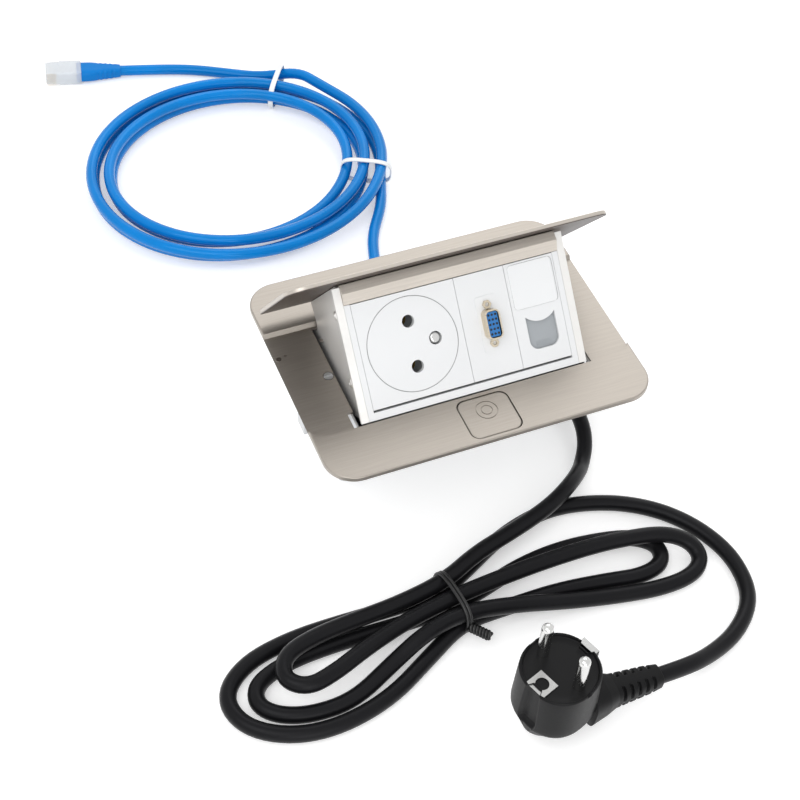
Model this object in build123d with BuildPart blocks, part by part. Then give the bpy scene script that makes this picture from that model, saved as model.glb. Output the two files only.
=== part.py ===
from build123d import *
import os
from math import atan2, cos, degrees, radians, sin, sqrt, tan

os.makedirs("parts", exist_ok=True)

# Overall sizes. X to the right, Y to the rear, Z up, the housing stands on Z = 0.
housing_height = 61.0
flange_width = 145.2
flange_depth = 113.1
flange_corner_radius = 13.0
flange_thickness = 3.4
flange_edge_chamfer = 1.2
flange_rim_round = 0.6
seat_depth = 2.0
seat_front_y = -32.0
seat_rear_y = 27.9
seat_side_over = 0.75
seat_corner_radius = 8.5
seat_relief = 1.1
opening_half = 51.4
opening_rear_y = 27.0
notch_half = 54.0
notch_rear_y = -22.0
sheet = 0.8
running_gap = 0.05
free_gap = 0.35

# Swinging carrier: pivot, travel from open to closed, lean of the socket face.
pivot_y = 38.4
pivot_drop = 7.6
pop_travel = 52.6
shaft_radius = 2.0
hub_radius = 3.0
lid_half = 71.2
lid_front_y = -31.6
lid_rear_y = 27.5
lid_thickness = 2.0
lid_corner_radius = 8.5
lid_edge_round = 0.4
face_origin_y = -28.61
face_origin_z = 64.0
face_lean = 41.2
module_width = 45.0
module_height = 44.3
plate_thickness = 3.0

seat_z = housing_height - seat_depth
under_z = housing_height - flange_thickness
pivot_z = housing_height - pivot_drop
tilt = radians(pop_travel)
lean = radians(face_lean)

# Closed-pose coordinates carried to the open pose: local (x, y, z) of this plane is the closed position.
shut_origin_y = pivot_y - pivot_y * cos(tilt) - pivot_z * sin(tilt)
shut_origin_z = pivot_z + pivot_y * sin(tilt) - pivot_z * cos(tilt)
shut = Plane(origin=(0, shut_origin_y, shut_origin_z), x_dir=(1, 0, 0), z_dir=(0, sin(tilt), cos(tilt)))
face = Plane(origin=(0, face_origin_y, face_origin_z), x_dir=(1, 0, 0), z_dir=(0, -cos(lean), sin(lean)))


def shut_point(y, z):
    dy = y - pivot_y
    dz = z - pivot_z
    return (pivot_y + dy * cos(tilt) + dz * sin(tilt), pivot_z - dy * sin(tilt) + dz * cos(tilt))


def face_point(v, w):
    y = face_origin_y + v * sin(lean) - w * cos(lean)
    z = face_origin_z + v * cos(lean) + w * sin(lean)
    return (y, z)


# Housing tub: sheet sides, a front wall that follows the swing, screw tabs under the flange.
tub_inner_half = 51.5
tub_swing_radius = 71.0
tub_front_wall = 1.5
tub_rear_y = 46.0
tub_rear_wall = 1.5
tub_floor = 1.8
tub_base_chamfer = 1.5
tab_width = 7.0
tab_reach = 8.0
tab_thickness = 1.5
tab_front_x = 40.0
tab_side_y = 45.0
screw_radius = 1.5
screw_head_radius = 2.6
screw_head_height = 1.8
screw_bite = 2.2
tub_outer_half = tub_inner_half + sheet
swing_outer = tub_swing_radius + tub_front_wall
floor_top = tub_floor
tab_front_y = pivot_y - swing_outer
screw_points = [(side * tab_front_x, tab_front_y - tab_reach / 2) for side in (-1, 1)]
screw_points += [(side * (tub_outer_half + tab_reach / 2), tab_side_y) for side in (-1, 1)]


def swing_y(radius, z):
    return pivot_y - sqrt(radius**2 - (z - pivot_z) ** 2)


# Flange with the lid seat, the opening, the front notches and the button hole.
button_width = 22.5
button_depth = 20.5
button_y = -44.25
button_corner = 4.0
button_gap = 0.35
button_travel = 2.0
cap_thickness = 3.2
clamp_x = 53.9
clamp_y = -0.5
clamp_head_radius = 2.0
clamp_head_height = 0.9
clamp_shank_radius = 1.25

cap_room_width = button_width + 2 * button_gap
cap_room_depth = button_depth + 2 * button_gap
cap_room_z = housing_height - cap_thickness - button_travel - free_gap

with BuildPart(Plane.XY.offset(under_z)) as flange_frame:
    with BuildSketch(Plane.XY.offset(under_z)):
        RectangleRounded(flange_width, flange_depth, flange_corner_radius)
    extrude(amount=flange_thickness)
    chamfer(flange_frame.faces().sort_by(Axis.Z)[0].edges(), flange_edge_chamfer)
    fillet(flange_frame.faces().sort_by(Axis.Z)[-1].edges(), flange_rim_round)
    seat_half = flange_width / 2 + seat_side_over
    with BuildSketch(Plane.XY.offset(seat_z)) as seat_sketch:
        with Locations((0, (seat_front_y + seat_rear_y) / 2)):
            Rectangle(2 * seat_half, seat_rear_y - seat_front_y)
        fillet(seat_sketch.vertices().group_by(Axis.Y)[0], seat_corner_radius)
    extrude(amount=seat_depth, mode=Mode.SUBTRACT)
    with BuildSketch(Plane.YZ.offset(-seat_half)):
        with BuildLine():
            Polyline(
                (seat_rear_y, seat_z),
                (seat_rear_y + seat_relief, housing_height),
                (seat_rear_y, housing_height),
                close=True,
            )
        make_face()
    extrude(amount=2 * seat_half, mode=Mode.SUBTRACT)
    with BuildSketch(Plane.XY.offset(under_z)):
        with Locations((0, (seat_front_y + opening_rear_y) / 2)):
            Rectangle(2 * opening_half, opening_rear_y - seat_front_y)
        with Locations((0, (seat_front_y + notch_rear_y) / 2)):
            Rectangle(2 * notch_half, notch_rear_y - seat_front_y)
        with Locations((0, button_y)):
            RectangleRounded(cap_room_width, cap_room_depth, button_corner)
    extrude(amount=flange_thickness, mode=Mode.SUBTRACT)
    with BuildSketch(Plane.XY.offset(under_z)):
        with Locations((-clamp_x, clamp_y), (clamp_x, clamp_y)):
            Circle(clamp_shank_radius + free_gap)
    extrude(amount=flange_thickness, mode=Mode.SUBTRACT)
    with BuildSketch(Plane.XY.offset(seat_z - clamp_head_height)):
        with Locations((-clamp_x, clamp_y), (clamp_x, clamp_y)):
            Circle(clamp_head_radius + free_gap)
    extrude(amount=clamp_head_height, mode=Mode.SUBTRACT)
    with BuildSketch(Plane.XY.offset(under_z)):
        with Locations(*screw_points):
            Circle(screw_radius)
    extrude(amount=screw_bite, mode=Mode.SUBTRACT)
flange_frame.part.label = "flange_frame"
export_step(flange_frame.part, "parts/flange_frame.step")

with BuildPart() as back_box:
    with BuildSketch(Plane.YZ.offset(-tub_outer_half)):
        with BuildLine():
            low_front = (swing_y(swing_outer, 0), 0)
            mid_front = (swing_y(swing_outer, pivot_z / 2), pivot_z / 2)
            high_front = (pivot_y - swing_outer, pivot_z)
            ThreePointArc(low_front, mid_front, high_front)
            Polyline(high_front, (pivot_y - swing_outer, under_z), (tub_rear_y + tub_rear_wall, under_z))
            Polyline((tub_rear_y + tub_rear_wall, under_z), (tub_rear_y + tub_rear_wall, 0), low_front)
        make_face()
    extrude(amount=2 * tub_outer_half)
    chamfer(back_box.faces().sort_by(Axis.Z)[0].edges(), tub_base_chamfer)
    with BuildSketch(Plane.YZ.offset(-tub_inner_half)):
        with BuildLine():
            low_in = (swing_y(tub_swing_radius, floor_top), floor_top)
            mid_in = (swing_y(tub_swing_radius, pivot_z / 2), pivot_z / 2)
            high_in = (pivot_y - tub_swing_radius, pivot_z)
            ThreePointArc(low_in, mid_in, high_in)
            Polyline(high_in, (pivot_y - tub_swing_radius, under_z), (tub_rear_y, under_z))
            Polyline((tub_rear_y, under_z), (tub_rear_y, floor_top), low_in)
        make_face()
    extrude(amount=2 * tub_inner_half, mode=Mode.SUBTRACT)
    with BuildSketch(Plane.XY.offset(under_z - tab_thickness)):
        for side in (-1, 1):
            with Locations((side * tab_front_x, tab_front_y - tab_reach / 2)):
                Rectangle(tab_width, tab_reach + sheet)
            with Locations((side * (tub_outer_half + tab_reach / 2), tab_side_y)):
                Rectangle(tab_reach + sheet, tab_width)
    extrude(amount=tab_thickness)
    with BuildSketch(Plane.XY.offset(under_z - tab_thickness)):
        with Locations(*screw_points):
            Circle(screw_radius + running_gap)
    extrude(amount=tab_thickness, mode=Mode.SUBTRACT)
    with BuildSketch(Plane.YZ.offset(-tub_outer_half)):
        with Locations((pivot_y, pivot_z)):
            Circle(shaft_radius + running_gap)
    extrude(amount=2 * tub_outer_half, mode=Mode.SUBTRACT)
    with BuildSketch(Plane.XY.offset(cap_room_z)):
        with Locations((0, button_y)):
            Rectangle(cap_room_width, cap_room_depth)
    extrude(amount=under_z - cap_room_z, mode=Mode.SUBTRACT)
back_box.part.label = "back_box"
export_step(back_box.part, "parts/back_box.step")


gasket_inset = 3.0
gasket_width = 3.0
gasket_height = 0.8

with BuildPart() as desk_gasket:
    with BuildSketch(Plane.XY.offset(under_z - gasket_height)):
        RectangleRounded(
            flange_width - 2 * gasket_inset, flange_depth - 2 * gasket_inset, flange_corner_radius - gasket_inset
        )
        gasket_cut = gasket_inset + gasket_width
        RectangleRounded(
            flange_width - 2 * gasket_cut,
            flange_depth - 2 * gasket_cut,
            flange_corner_radius - gasket_cut,
            mode=Mode.SUBTRACT,
        )
        with Locations((0, button_y)):
            Rectangle(cap_room_width, cap_room_depth, mode=Mode.SUBTRACT)
    extrude(amount=gasket_height)
desk_gasket.part.label = "desk_gasket"
export_step(desk_gasket.part, "parts/desk_gasket.step")

with BuildPart() as frame_screws:
    tab_under = under_z - tab_thickness
    with BuildSketch(Plane.XY.offset(tab_under - screw_head_height)):
        with Locations(*screw_points):
            Circle(screw_head_radius)
    extrude(amount=screw_head_height)
    with BuildSketch(Plane.XY.offset(tab_under)):
        with Locations(*screw_points):
            Circle(screw_radius - running_gap / 2)
    extrude(amount=tab_thickness + screw_bite - free_gap)
frame_screws.part.label = "frame_screws"
export_step(frame_screws.part, "parts/frame_screws.step")

# Release button: cap in the front strip, ears that hold it, a wedge stem that pulls the release bar.
cap_rim_round = 0.5
ring_outer_radius = 4.7
ring_inner_radius = 2.5
ring_groove = 0.35
ring_y = -41.5
ear_reach = 1.3
ear_depth = 12.0
ear_height = 1.2
stem_width = 5.0
stem_front_y = -44.5
stem_rear_y = -39.5
guide_half = 14.6
guide_front_y = -50.0
guide_rear_y = -34.45
guide_wall = 1.2
guide_height = 6.0
bar_thickness = 1.4
ear_drop = 3.8

guide_floor_z = under_z - guide_height
guide_mid_y = (guide_front_y + guide_rear_y) / 2
bar_top = guide_floor_z - free_gap
bar_bottom = bar_top - bar_thickness
stem_bottom = bar_bottom - free_gap
wedge_top = bar_top + button_travel
with BuildPart() as release_button:
    with BuildSketch(Plane.XY.offset(housing_height - cap_thickness)):
        with Locations((0, button_y)):
            RectangleRounded(button_width, button_depth, button_corner)
    extrude(amount=cap_thickness)
    fillet(release_button.faces().sort_by(Axis.Z)[-1].edges(), cap_rim_round)
    with BuildSketch(Plane.XY.offset(housing_height - ring_groove)):
        with Locations((0, ring_y)):
            Circle(ring_outer_radius)
            Circle(ring_outer_radius - ring_groove, mode=Mode.SUBTRACT)
            Circle(ring_inner_radius)
            Circle(ring_inner_radius - ring_groove, mode=Mode.SUBTRACT)
    extrude(amount=ring_groove, mode=Mode.SUBTRACT)
    with BuildSketch(Plane.XY.offset(housing_height - ear_drop - ear_height)):
        with Locations((0, guide_mid_y)):
            Rectangle(button_width + 2 * ear_reach, ear_depth)
    extrude(amount=ear_height)
    with BuildSketch(Plane.XY.offset(housing_height - ear_drop)):
        with Locations((0, guide_mid_y)):
            Rectangle(button_width - 2 * ear_reach, ear_depth)
    extrude(amount=ear_drop - cap_thickness)
    with BuildSketch(Plane.YZ.offset(-stem_width / 2)):
        with BuildLine():
            Polyline(
                (stem_rear_y, housing_height - ear_drop - ear_height),
                (stem_rear_y, stem_bottom),
                (stem_front_y + wedge_top - stem_bottom, stem_bottom),
                (stem_front_y, wedge_top),
                (stem_front_y, housing_height - ear_drop - ear_height),
                close=True,
            )
        make_face()
    extrude(amount=stem_width)
release_button.part.label = "release_button"
export_step(release_button.part, "parts/release_button.step")

with BuildPart() as button_guide:
    with BuildSketch(Plane.XY.offset(guide_floor_z)):
        with Locations((0, guide_mid_y)):
            Rectangle(2 * guide_half, guide_rear_y - guide_front_y)
    extrude(amount=guide_height)
    with BuildSketch(Plane.XY.offset(guide_floor_z + guide_wall)):
        with Locations((0, guide_mid_y)):
            Rectangle(2 * (guide_half - guide_wall), guide_rear_y - guide_front_y - 2 * guide_wall)
    extrude(amount=guide_height, mode=Mode.SUBTRACT)
    with BuildSketch(Plane.XY.offset(guide_floor_z)):
        with Locations((0, (stem_front_y + stem_rear_y) / 2)):
            Rectangle(stem_width + 2 * free_gap, stem_rear_y - stem_front_y + 2 * free_gap)
    extrude(amount=guide_wall, mode=Mode.SUBTRACT)
    with BuildSketch(Plane.XY.offset(cap_room_z)):
        with Locations((0, button_y)):
            Rectangle(cap_room_width, cap_room_depth)
    extrude(amount=under_z - cap_room_z, mode=Mode.SUBTRACT)
button_guide.part.label = "button_guide"
export_step(button_guide.part, "parts/button_guide.step")

spring_wire = 0.5
spring_turns = 2.5
button_spring_radius = 4.3

with BuildPart() as button_spring:
    spring_low = guide_floor_z + guide_wall + spring_wire / 2
    spring_high = housing_height - ear_drop - ear_height - spring_wire / 2
    spring_rise = spring_high - spring_low
    with Locations((0, (stem_front_y + stem_rear_y) / 2, spring_low)):
        spring_path = Helix(spring_rise / spring_turns, spring_rise, button_spring_radius, mode=Mode.PRIVATE)
    spring_path = spring_path.moved(Location((0, (stem_front_y + stem_rear_y) / 2, spring_low)))
    with BuildSketch(Plane(origin=spring_path @ 0, z_dir=spring_path % 0)):
        Circle(spring_wire / 2)
    sweep(path=spring_path)
button_spring.part.label = "button_spring"
export_step(button_spring.part, "parts/button_spring.step")

# Release bar: pulled forward by the wedge, its finger draws the crank of the hinge shaft open.
bar_left_x = -6.0
bar_outer_x = 57.6
bar_front_y = -47.5
bar_rear_y = -35.2
arm_front_y = -38.0
arm_height = 8.8
finger_depth = 1.5
finger_height = 4.0
crank_inner_x = 53.0
crank_thickness = 1.6
crank_arm = 9.0
lug_radius = 1.5
finger_y = pivot_y + lug_radius + button_travel + running_gap

with BuildPart() as release_bar:
    with BuildSketch(Plane.XY.offset(bar_bottom)):
        with Locations(((bar_left_x + bar_outer_x) / 2, (bar_front_y + bar_rear_y) / 2)):
            Rectangle(bar_outer_x - bar_left_x, bar_rear_y - bar_front_y)
        slot_front_y = stem_front_y + button_travel - free_gap * sqrt(2)
        slot_rear_y = stem_rear_y + button_travel + free_gap
        with Locations((0, (slot_front_y + slot_rear_y) / 2)):
            Rectangle(stem_width + 2 * free_gap, slot_rear_y - slot_front_y, mode=Mode.SUBTRACT)
    extrude(amount=bar_thickness)
    with BuildSketch(Plane.XY.offset(bar_top - arm_height)):
        with Locations((bar_outer_x - bar_thickness / 2, (arm_front_y + finger_y + finger_depth) / 2)):
            Rectangle(bar_thickness, finger_y + finger_depth - arm_front_y)
    extrude(amount=arm_height)
    with BuildSketch(Plane.XY.offset(bar_top - arm_height)):
        with Locations(((crank_inner_x + bar_outer_x) / 2, finger_y + finger_depth / 2)):
            Rectangle(bar_outer_x - crank_inner_x, finger_depth)
    extrude(amount=finger_height)
release_bar.part.label = "release_bar"
export_step(release_bar.part, "parts/release_bar.step")

magnet_radius = 4.0
magnet_height = 2.0
magnet_x = 59.5
magnet_y = -25.0

with BuildPart() as catch_magnets:
    with BuildSketch(Plane.XY.offset(under_z - magnet_height)):
        with Locations((-magnet_x, magnet_y), (magnet_x, magnet_y)):
            Circle(magnet_radius)
    extrude(amount=magnet_height)
catch_magnets.part.label = "catch_magnets"
export_step(catch_magnets.part, "parts/catch_magnets.step")

# Hinge shaft with the torsion spring wound round it.
shaft_half = crank_inner_x + crank_thickness
torsion_wire = 0.9
torsion_radius = 3.2
torsion_turns = 8
torsion_pitch = 1.4
torsion_x = -30.0
torsion_leg = 9.0

with BuildPart() as hinge_shaft:
    with BuildSketch(Plane.YZ.offset(-shaft_half)):
        with Locations((pivot_y, pivot_z)):
            Circle(shaft_radius)
    extrude(amount=2 * shaft_half)
hinge_shaft.part.label = "hinge_shaft"
export_step(hinge_shaft.part, "parts/hinge_shaft.step")

with BuildPart() as torsion_spring:
    coil_length = torsion_turns * torsion_pitch
    coil_plane = Plane(origin=(torsion_x, pivot_y, pivot_z), x_dir=(0, 0, 1), z_dir=(1, 0, 0))
    coil_path = coil_plane.location * Helix(torsion_pitch, coil_length, torsion_radius)
    with BuildSketch(Plane(origin=coil_path @ 0, z_dir=coil_path % 0)):
        Circle(torsion_wire / 2)
    sweep(path=coil_path)
    with BuildSketch(Plane.XZ.offset(-pivot_y)):
        with Locations((torsion_x, pivot_z + torsion_radius)):
            Circle(torsion_wire / 2)
    extrude(amount=-(tub_rear_y - pivot_y))
    with BuildSketch(Plane.XZ.offset(-pivot_y)):
        with Locations((torsion_x + coil_length, pivot_z + torsion_radius)):
            Circle(torsion_wire / 2)
    extrude(amount=torsion_leg)
torsion_spring.part.label = "torsion_spring"
export_step(torsion_spring.part, "parts/torsion_spring.step")

# Rotary damper: toothed sector on the shaft, pinion below it, pitch circles in contact.
tooth_module = 0.8
sector_teeth = 30
pinion_teeth = 10
tooth_addendum = 0.6
tooth_dedendum = 0.9
tooth_fill = 0.4
sector_half_angle = 38.0
sector_mid_angle = -116.3
gear_thickness = 1.6
sector_radius = tooth_module * sector_teeth / 2
pinion_radius = tooth_module * pinion_teeth / 2
pinion_z = pivot_z - sector_radius - pinion_radius
pinion_shaft_radius = 1.25
damper_radius = 7.5
damper_thickness = 4.0
damper_plate = 1.8
damper_gap = 0.4
damper_foot_y = 44.4
damper_plate_low = 6.0


def tooth(radius, angle, pitch_angle):
    half = radians(pitch_angle * tooth_fill / 2)
    root = radius - tooth_dedendum
    tip = radius + tooth_addendum
    spread = [(root, half * 1.35), (radius, half), (tip, half * 0.55)]
    turn = radians(angle)
    left = [(r * cos(turn + a), r * sin(turn + a)) for r, a in spread]
    right = [(r * cos(turn - a), r * sin(turn - a)) for r, a in reversed(spread)]
    return left + right


def sector_point(angle):
    root = sector_radius - tooth_dedendum
    return (pivot_y + root * cos(radians(angle)), pivot_z + root * sin(radians(angle)))


with BuildPart() as damper_sector:
    with BuildSketch(Plane.YZ.offset(-shaft_half)):
        with BuildLine():
            sector_start = sector_point(sector_mid_angle - sector_half_angle)
            sector_finish = sector_point(sector_mid_angle + sector_half_angle)
            ThreePointArc(sector_start, sector_point(sector_mid_angle), sector_finish)
            Polyline(sector_finish, (pivot_y, pivot_z), sector_start)
        make_face()
        with Locations((pivot_y, pivot_z)):
            Circle(hub_radius)
        sector_pitch = 360 / sector_teeth
        for number in range(-5, 2):
            with Locations((pivot_y, pivot_z)):
                Polygon(*tooth(sector_radius, number * sector_pitch - 90, sector_pitch), align=None)
        with Locations((pivot_y, pivot_z)):
            Circle(shaft_radius, mode=Mode.SUBTRACT)
    extrude(amount=gear_thickness)
damper_sector.part.label = "damper_sector"
export_step(damper_sector.part, "parts/damper_sector.step")

with BuildPart() as damper_pinion:
    pinion_pitch = 360 / pinion_teeth
    with BuildSketch(Plane.YZ.offset(-shaft_half)):
        with Locations((pivot_y, pinion_z)):
            Circle(pinion_radius - tooth_dedendum)
            for number in range(pinion_teeth):
                Polygon(*tooth(pinion_radius, 90 + (number + 0.5) * pinion_pitch, pinion_pitch), align=None)
    extrude(amount=gear_thickness)
    with BuildSketch(Plane.YZ.offset(-shaft_half)):
        with Locations((pivot_y, pinion_z)):
            Circle(pinion_shaft_radius)
    extrude(amount=-(damper_gap + damper_plate + damper_thickness / 2))
damper_pinion.part.label = "damper_pinion"
export_step(damper_pinion.part, "parts/damper_pinion.step")

with BuildPart() as damper_body:
    plate_x = -shaft_half - damper_gap
    with BuildSketch(Plane.YZ.offset(plate_x)):
        with Locations((pivot_y, pinion_z)):
            Circle(damper_radius)
        plate_width = tub_rear_y + tub_rear_wall - pivot_y
        with Locations((pivot_y + plate_width / 2, pinion_z)):
            Rectangle(plate_width, 2 * damper_plate_low)
    extrude(amount=-damper_plate)
    with BuildSketch(Plane.YZ.offset(plate_x - damper_plate)):
        with Locations((pivot_y, pinion_z)):
            Circle(damper_radius)
    extrude(amount=-damper_thickness)
    tip_room = sector_radius + tooth_addendum + free_gap
    foot_top = pivot_z - sqrt(tip_room**2 - (damper_foot_y - pivot_y) ** 2)
    foot_low = pinion_z - damper_plate_low
    with BuildSketch(Plane.YZ.offset(-tub_outer_half)):
        with Locations(((damper_foot_y + tub_rear_y + tub_rear_wall) / 2, (foot_top + foot_low) / 2)):
            Rectangle(tub_rear_y + tub_rear_wall - damper_foot_y, foot_top - foot_low)
    extrude(amount=-(shaft_half + damper_gap - tub_outer_half))
    with BuildSketch(Plane.YZ.offset(plate_x)):
        with Locations((pivot_y, pinion_z)):
            Circle(pinion_shaft_radius + running_gap)
    extrude(amount=-(damper_plate + damper_thickness / 2 + free_gap), mode=Mode.SUBTRACT)
damper_body.part.label = "damper_body"
export_step(damper_body.part, "parts/damper_body.step")

with BuildPart() as release_crank:
    crank_plane = Plane.YZ.offset(crank_inner_x)
    lug_y, lug_z = shut_point(pivot_y, pivot_z - crank_arm)
    with BuildSketch(crank_plane):
        with Locations((pivot_y, pivot_z)):
            Circle(hub_radius)
        with Locations((lug_y, lug_z)):
            Circle(lug_radius)
        with Locations(((pivot_y + lug_y) / 2, (pivot_z + lug_z) / 2)):
            Rectangle(crank_arm, 2 * lug_radius, rotation=degrees(atan2(lug_z - pivot_z, lug_y - pivot_y)))
        with Locations((pivot_y, pivot_z)):
            Circle(shaft_radius, mode=Mode.SUBTRACT)
    extrude(amount=crank_thickness)
release_crank.part.label = "release_crank"
export_step(release_crank.part, "parts/release_crank.step")

# Desk clamps: a slotted screw through each ledge and a claw that climbs it.
clamp_slot = 0.7
clamp_screw_drop = 37.0
claw_top_drop = 26.0
claw_height = 5.0
claw_width = 8.0
claw_reach_x = 66.0
claw_tip_width = 3.0
claw_tip_height = 3.0

clamp_head_z = seat_z - clamp_head_height
with BuildPart() as clamp_screw_left:
    with BuildSketch(Plane.XY.offset(clamp_head_z)):
        with Locations((-clamp_x, clamp_y)):
            Circle(clamp_head_radius)
    extrude(amount=clamp_head_height)
    with BuildSketch(Plane.XY.offset(seat_z)):
        with Locations((-clamp_x, clamp_y)):
            Rectangle(2 * clamp_head_radius, clamp_slot)
    extrude(amount=-clamp_head_height / 2, mode=Mode.SUBTRACT)
    with BuildSketch(Plane.XY.offset(housing_height - clamp_screw_drop)):
        with Locations((-clamp_x, clamp_y)):
            Circle(clamp_shank_radius)
    extrude(amount=clamp_screw_drop - seat_depth - clamp_head_height)
clamp_screw_left.part.label = "clamp_screw_left"
export_step(clamp_screw_left.part, "parts/clamp_screw_left.step")

clamp_screw_right = mirror(clamp_screw_left.part, about=Plane.YZ)
clamp_screw_right.label = "clamp_screw_right"
export_step(clamp_screw_right, "parts/clamp_screw_right.step")

with BuildPart() as clamp_claw_left:
    claw_inner_x = tub_outer_half + free_gap
    claw_top_z = housing_height - claw_top_drop
    with BuildSketch(Plane.XY.offset(claw_top_z - claw_height)):
        with Locations((-(claw_inner_x + claw_reach_x) / 2, clamp_y)):
            Rectangle(claw_reach_x - claw_inner_x, claw_width)
    extrude(amount=claw_height)
    with BuildSketch(Plane.XY.offset(claw_top_z)):
        with Locations((-claw_reach_x + claw_tip_width / 2, clamp_y)):
            Rectangle(claw_tip_width, claw_width)
    extrude(amount=claw_tip_height)
    with BuildSketch(Plane.XY.offset(claw_top_z - claw_height)):
        with Locations((-clamp_x, clamp_y)):
            Circle(clamp_shank_radius + running_gap)
    extrude(amount=claw_height, mode=Mode.SUBTRACT)
clamp_claw_left.part.label = "clamp_claw_left"
export_step(clamp_claw_left.part, "parts/clamp_claw_left.step")

clamp_claw_right = mirror(clamp_claw_left.part, about=Plane.YZ)
clamp_claw_right.label = "clamp_claw_right"
export_step(clamp_claw_right, "parts/clamp_claw_right.step")

# Mains terminal box on the right side of the tub, glands for the two cords.
terminal_outer_x = 67.0
terminal_front_y = -6.0
terminal_rear_y = 38.0
terminal_height = 24.0
terminal_wall = 1.6
terminal_cover_thickness = 2.0
gland_x = 60.0
gland_z = 10.0
gland_nut_radius = 6.0
gland_nose_radius = 4.6
gland_length = 8.0
data_gland_x = 3.0
data_gland_z = 9.0
data_gland_radius = 4.8
data_gland_nose = 3.7
data_gland_length = 8.9

terminal_mid_y = (terminal_front_y + terminal_rear_y) / 2
with BuildPart() as terminal_box:
    with BuildSketch(Plane.YZ.offset(tub_outer_half)):
        with Locations((terminal_mid_y, terminal_height / 2)):
            Rectangle(terminal_rear_y - terminal_front_y, terminal_height)
    extrude(amount=terminal_outer_x - tub_outer_half)
    with BuildSketch(Plane.YZ.offset(tub_outer_half + terminal_wall)):
        with Locations((terminal_mid_y, terminal_height / 2)):
            Rectangle(
                terminal_rear_y - terminal_front_y - 2 * terminal_wall, terminal_height - 2 * terminal_wall
            )
    extrude(amount=terminal_outer_x - tub_outer_half, mode=Mode.SUBTRACT)
terminal_box.part.label = "terminal_box"
export_step(terminal_box.part, "parts/terminal_box.step")

with BuildPart() as terminal_cover:
    with BuildSketch(Plane.YZ.offset(terminal_outer_x)):
        with Locations((terminal_mid_y, terminal_height / 2)):
            Rectangle(terminal_rear_y - terminal_front_y, terminal_height)
    extrude(amount=terminal_cover_thickness)
terminal_cover.part.label = "terminal_cover"
export_step(terminal_cover.part, "parts/terminal_cover.step")

with BuildPart() as cord_gland:
    with BuildSketch(Plane.XZ.offset(-terminal_front_y)):
        with Locations((gland_x, gland_z)):
            RegularPolygon(gland_nut_radius, 6)
    extrude(amount=gland_length / 2)
    with BuildSketch(Plane.XZ.offset(-terminal_front_y + gland_length / 2)):
        with Locations((gland_x, gland_z)):
            Circle(gland_nose_radius)
    extrude(amount=gland_length / 2, taper=4)
cord_gland.part.label = "cord_gland"
export_step(cord_gland.part, "parts/cord_gland.step")

with BuildPart() as data_gland:
    with BuildSketch(Plane.XZ.offset(-tub_rear_y - tub_rear_wall)):
        with Locations((data_gland_x, data_gland_z)):
            RegularPolygon(data_gland_radius, 6)
    extrude(amount=-data_gland_length / 2)
    with BuildSketch(Plane.XZ.offset(-tub_rear_y - tub_rear_wall - data_gland_length / 2)):
        with Locations((data_gland_x, data_gland_z)):
            Circle(data_gland_nose)
    extrude(amount=-data_gland_length / 2)
data_gland.part.label = "data_gland"
export_step(data_gland.part, "parts/data_gland.step")

# Carrier: lid, panel, lip, side plates, bottom bar, filler strips, rails and rear cover.
panel_half = 61.0
panel_thickness = 0.8
panel_front_y = -30.4
panel_rear_y = 26.0
panel_corner_radius = 6.0
side_inner = 47.7
side_sheet = 1.3
lip_outer = 51.0
lip_depth = 1.5
bar_low_v = -4.0
bar_high_v = -0.9
bar_depth = 5.0
trim_half = 47.6
strip_high_v = 44.5
lip_low_v = 44.7
lip_crest_v = 49.4
lip_high_v = 53.0
lip_crest_w = 2.0
lip_edge_w = 0.3
side_top_v = 52.2
lid_under_z = seat_z + running_gap
neck_y = 26.4
neck_z = 61.4
cover_sheet = 1.0
shelf_run = 46.4
shelf_inset = 3.0
cover_share = [(-0.1822, 0.944), (-0.04, 0.69), (0.11, 0.764), (0.2, 0.836)]

with BuildPart(shut) as lid_plate:
    with BuildSketch(shut.offset(lid_under_z)) as lid_sketch:
        with Locations((0, (lid_front_y + lid_rear_y) / 2)):
            Rectangle(2 * lid_half, lid_rear_y - lid_front_y)
        fillet(lid_sketch.vertices().group_by(Axis.Y)[0], lid_corner_radius)
        fillet(lid_sketch.vertices().group_by(Axis.Y)[-1], lid_edge_round * 4)
    extrude(amount=lid_thickness - running_gap)
    fillet(lid_plate.faces().sort_by(Axis(origin=(0, 0, 0), direction=tuple(shut.z_dir)))[-1].edges(), lid_edge_round)
    with BuildSketch(shut.offset(lid_under_z)):
        with Locations((0, (panel_front_y + panel_rear_y) / 2)):
            RectangleRounded(2 * panel_half, panel_rear_y - panel_front_y, panel_corner_radius)
    extrude(amount=panel_thickness, mode=Mode.SUBTRACT)
lid_plate.part.label = "lid_plate"
export_step(lid_plate.part, "parts/lid_plate.step")

with BuildPart() as lid_panel:
    with BuildSketch(shut.offset(lid_under_z)):
        with Locations((0, (panel_front_y + panel_rear_y) / 2)):
            RectangleRounded(2 * panel_half, panel_rear_y - panel_front_y, panel_corner_radius)
    extrude(amount=panel_thickness)
lid_panel.part.label = "lid_panel"
export_step(lid_panel.part, "parts/lid_panel.step")

with BuildPart() as lip_profile:
    with BuildSketch(Plane.YZ.offset(-trim_half)):
        with BuildLine():
            Polyline(
                face_point(lip_low_v, -lip_depth),
                face_point(lip_low_v, lip_edge_w),
                face_point(lip_crest_v, lip_crest_w),
                face_point(lip_high_v, lip_edge_w),
                face_point(lip_high_v, -lip_depth),
                close=True,
            )
        make_face()
    extrude(amount=2 * trim_half)
lip_profile.part.label = "lip_profile"
export_step(lip_profile.part, "parts/lip_profile.step")

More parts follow.
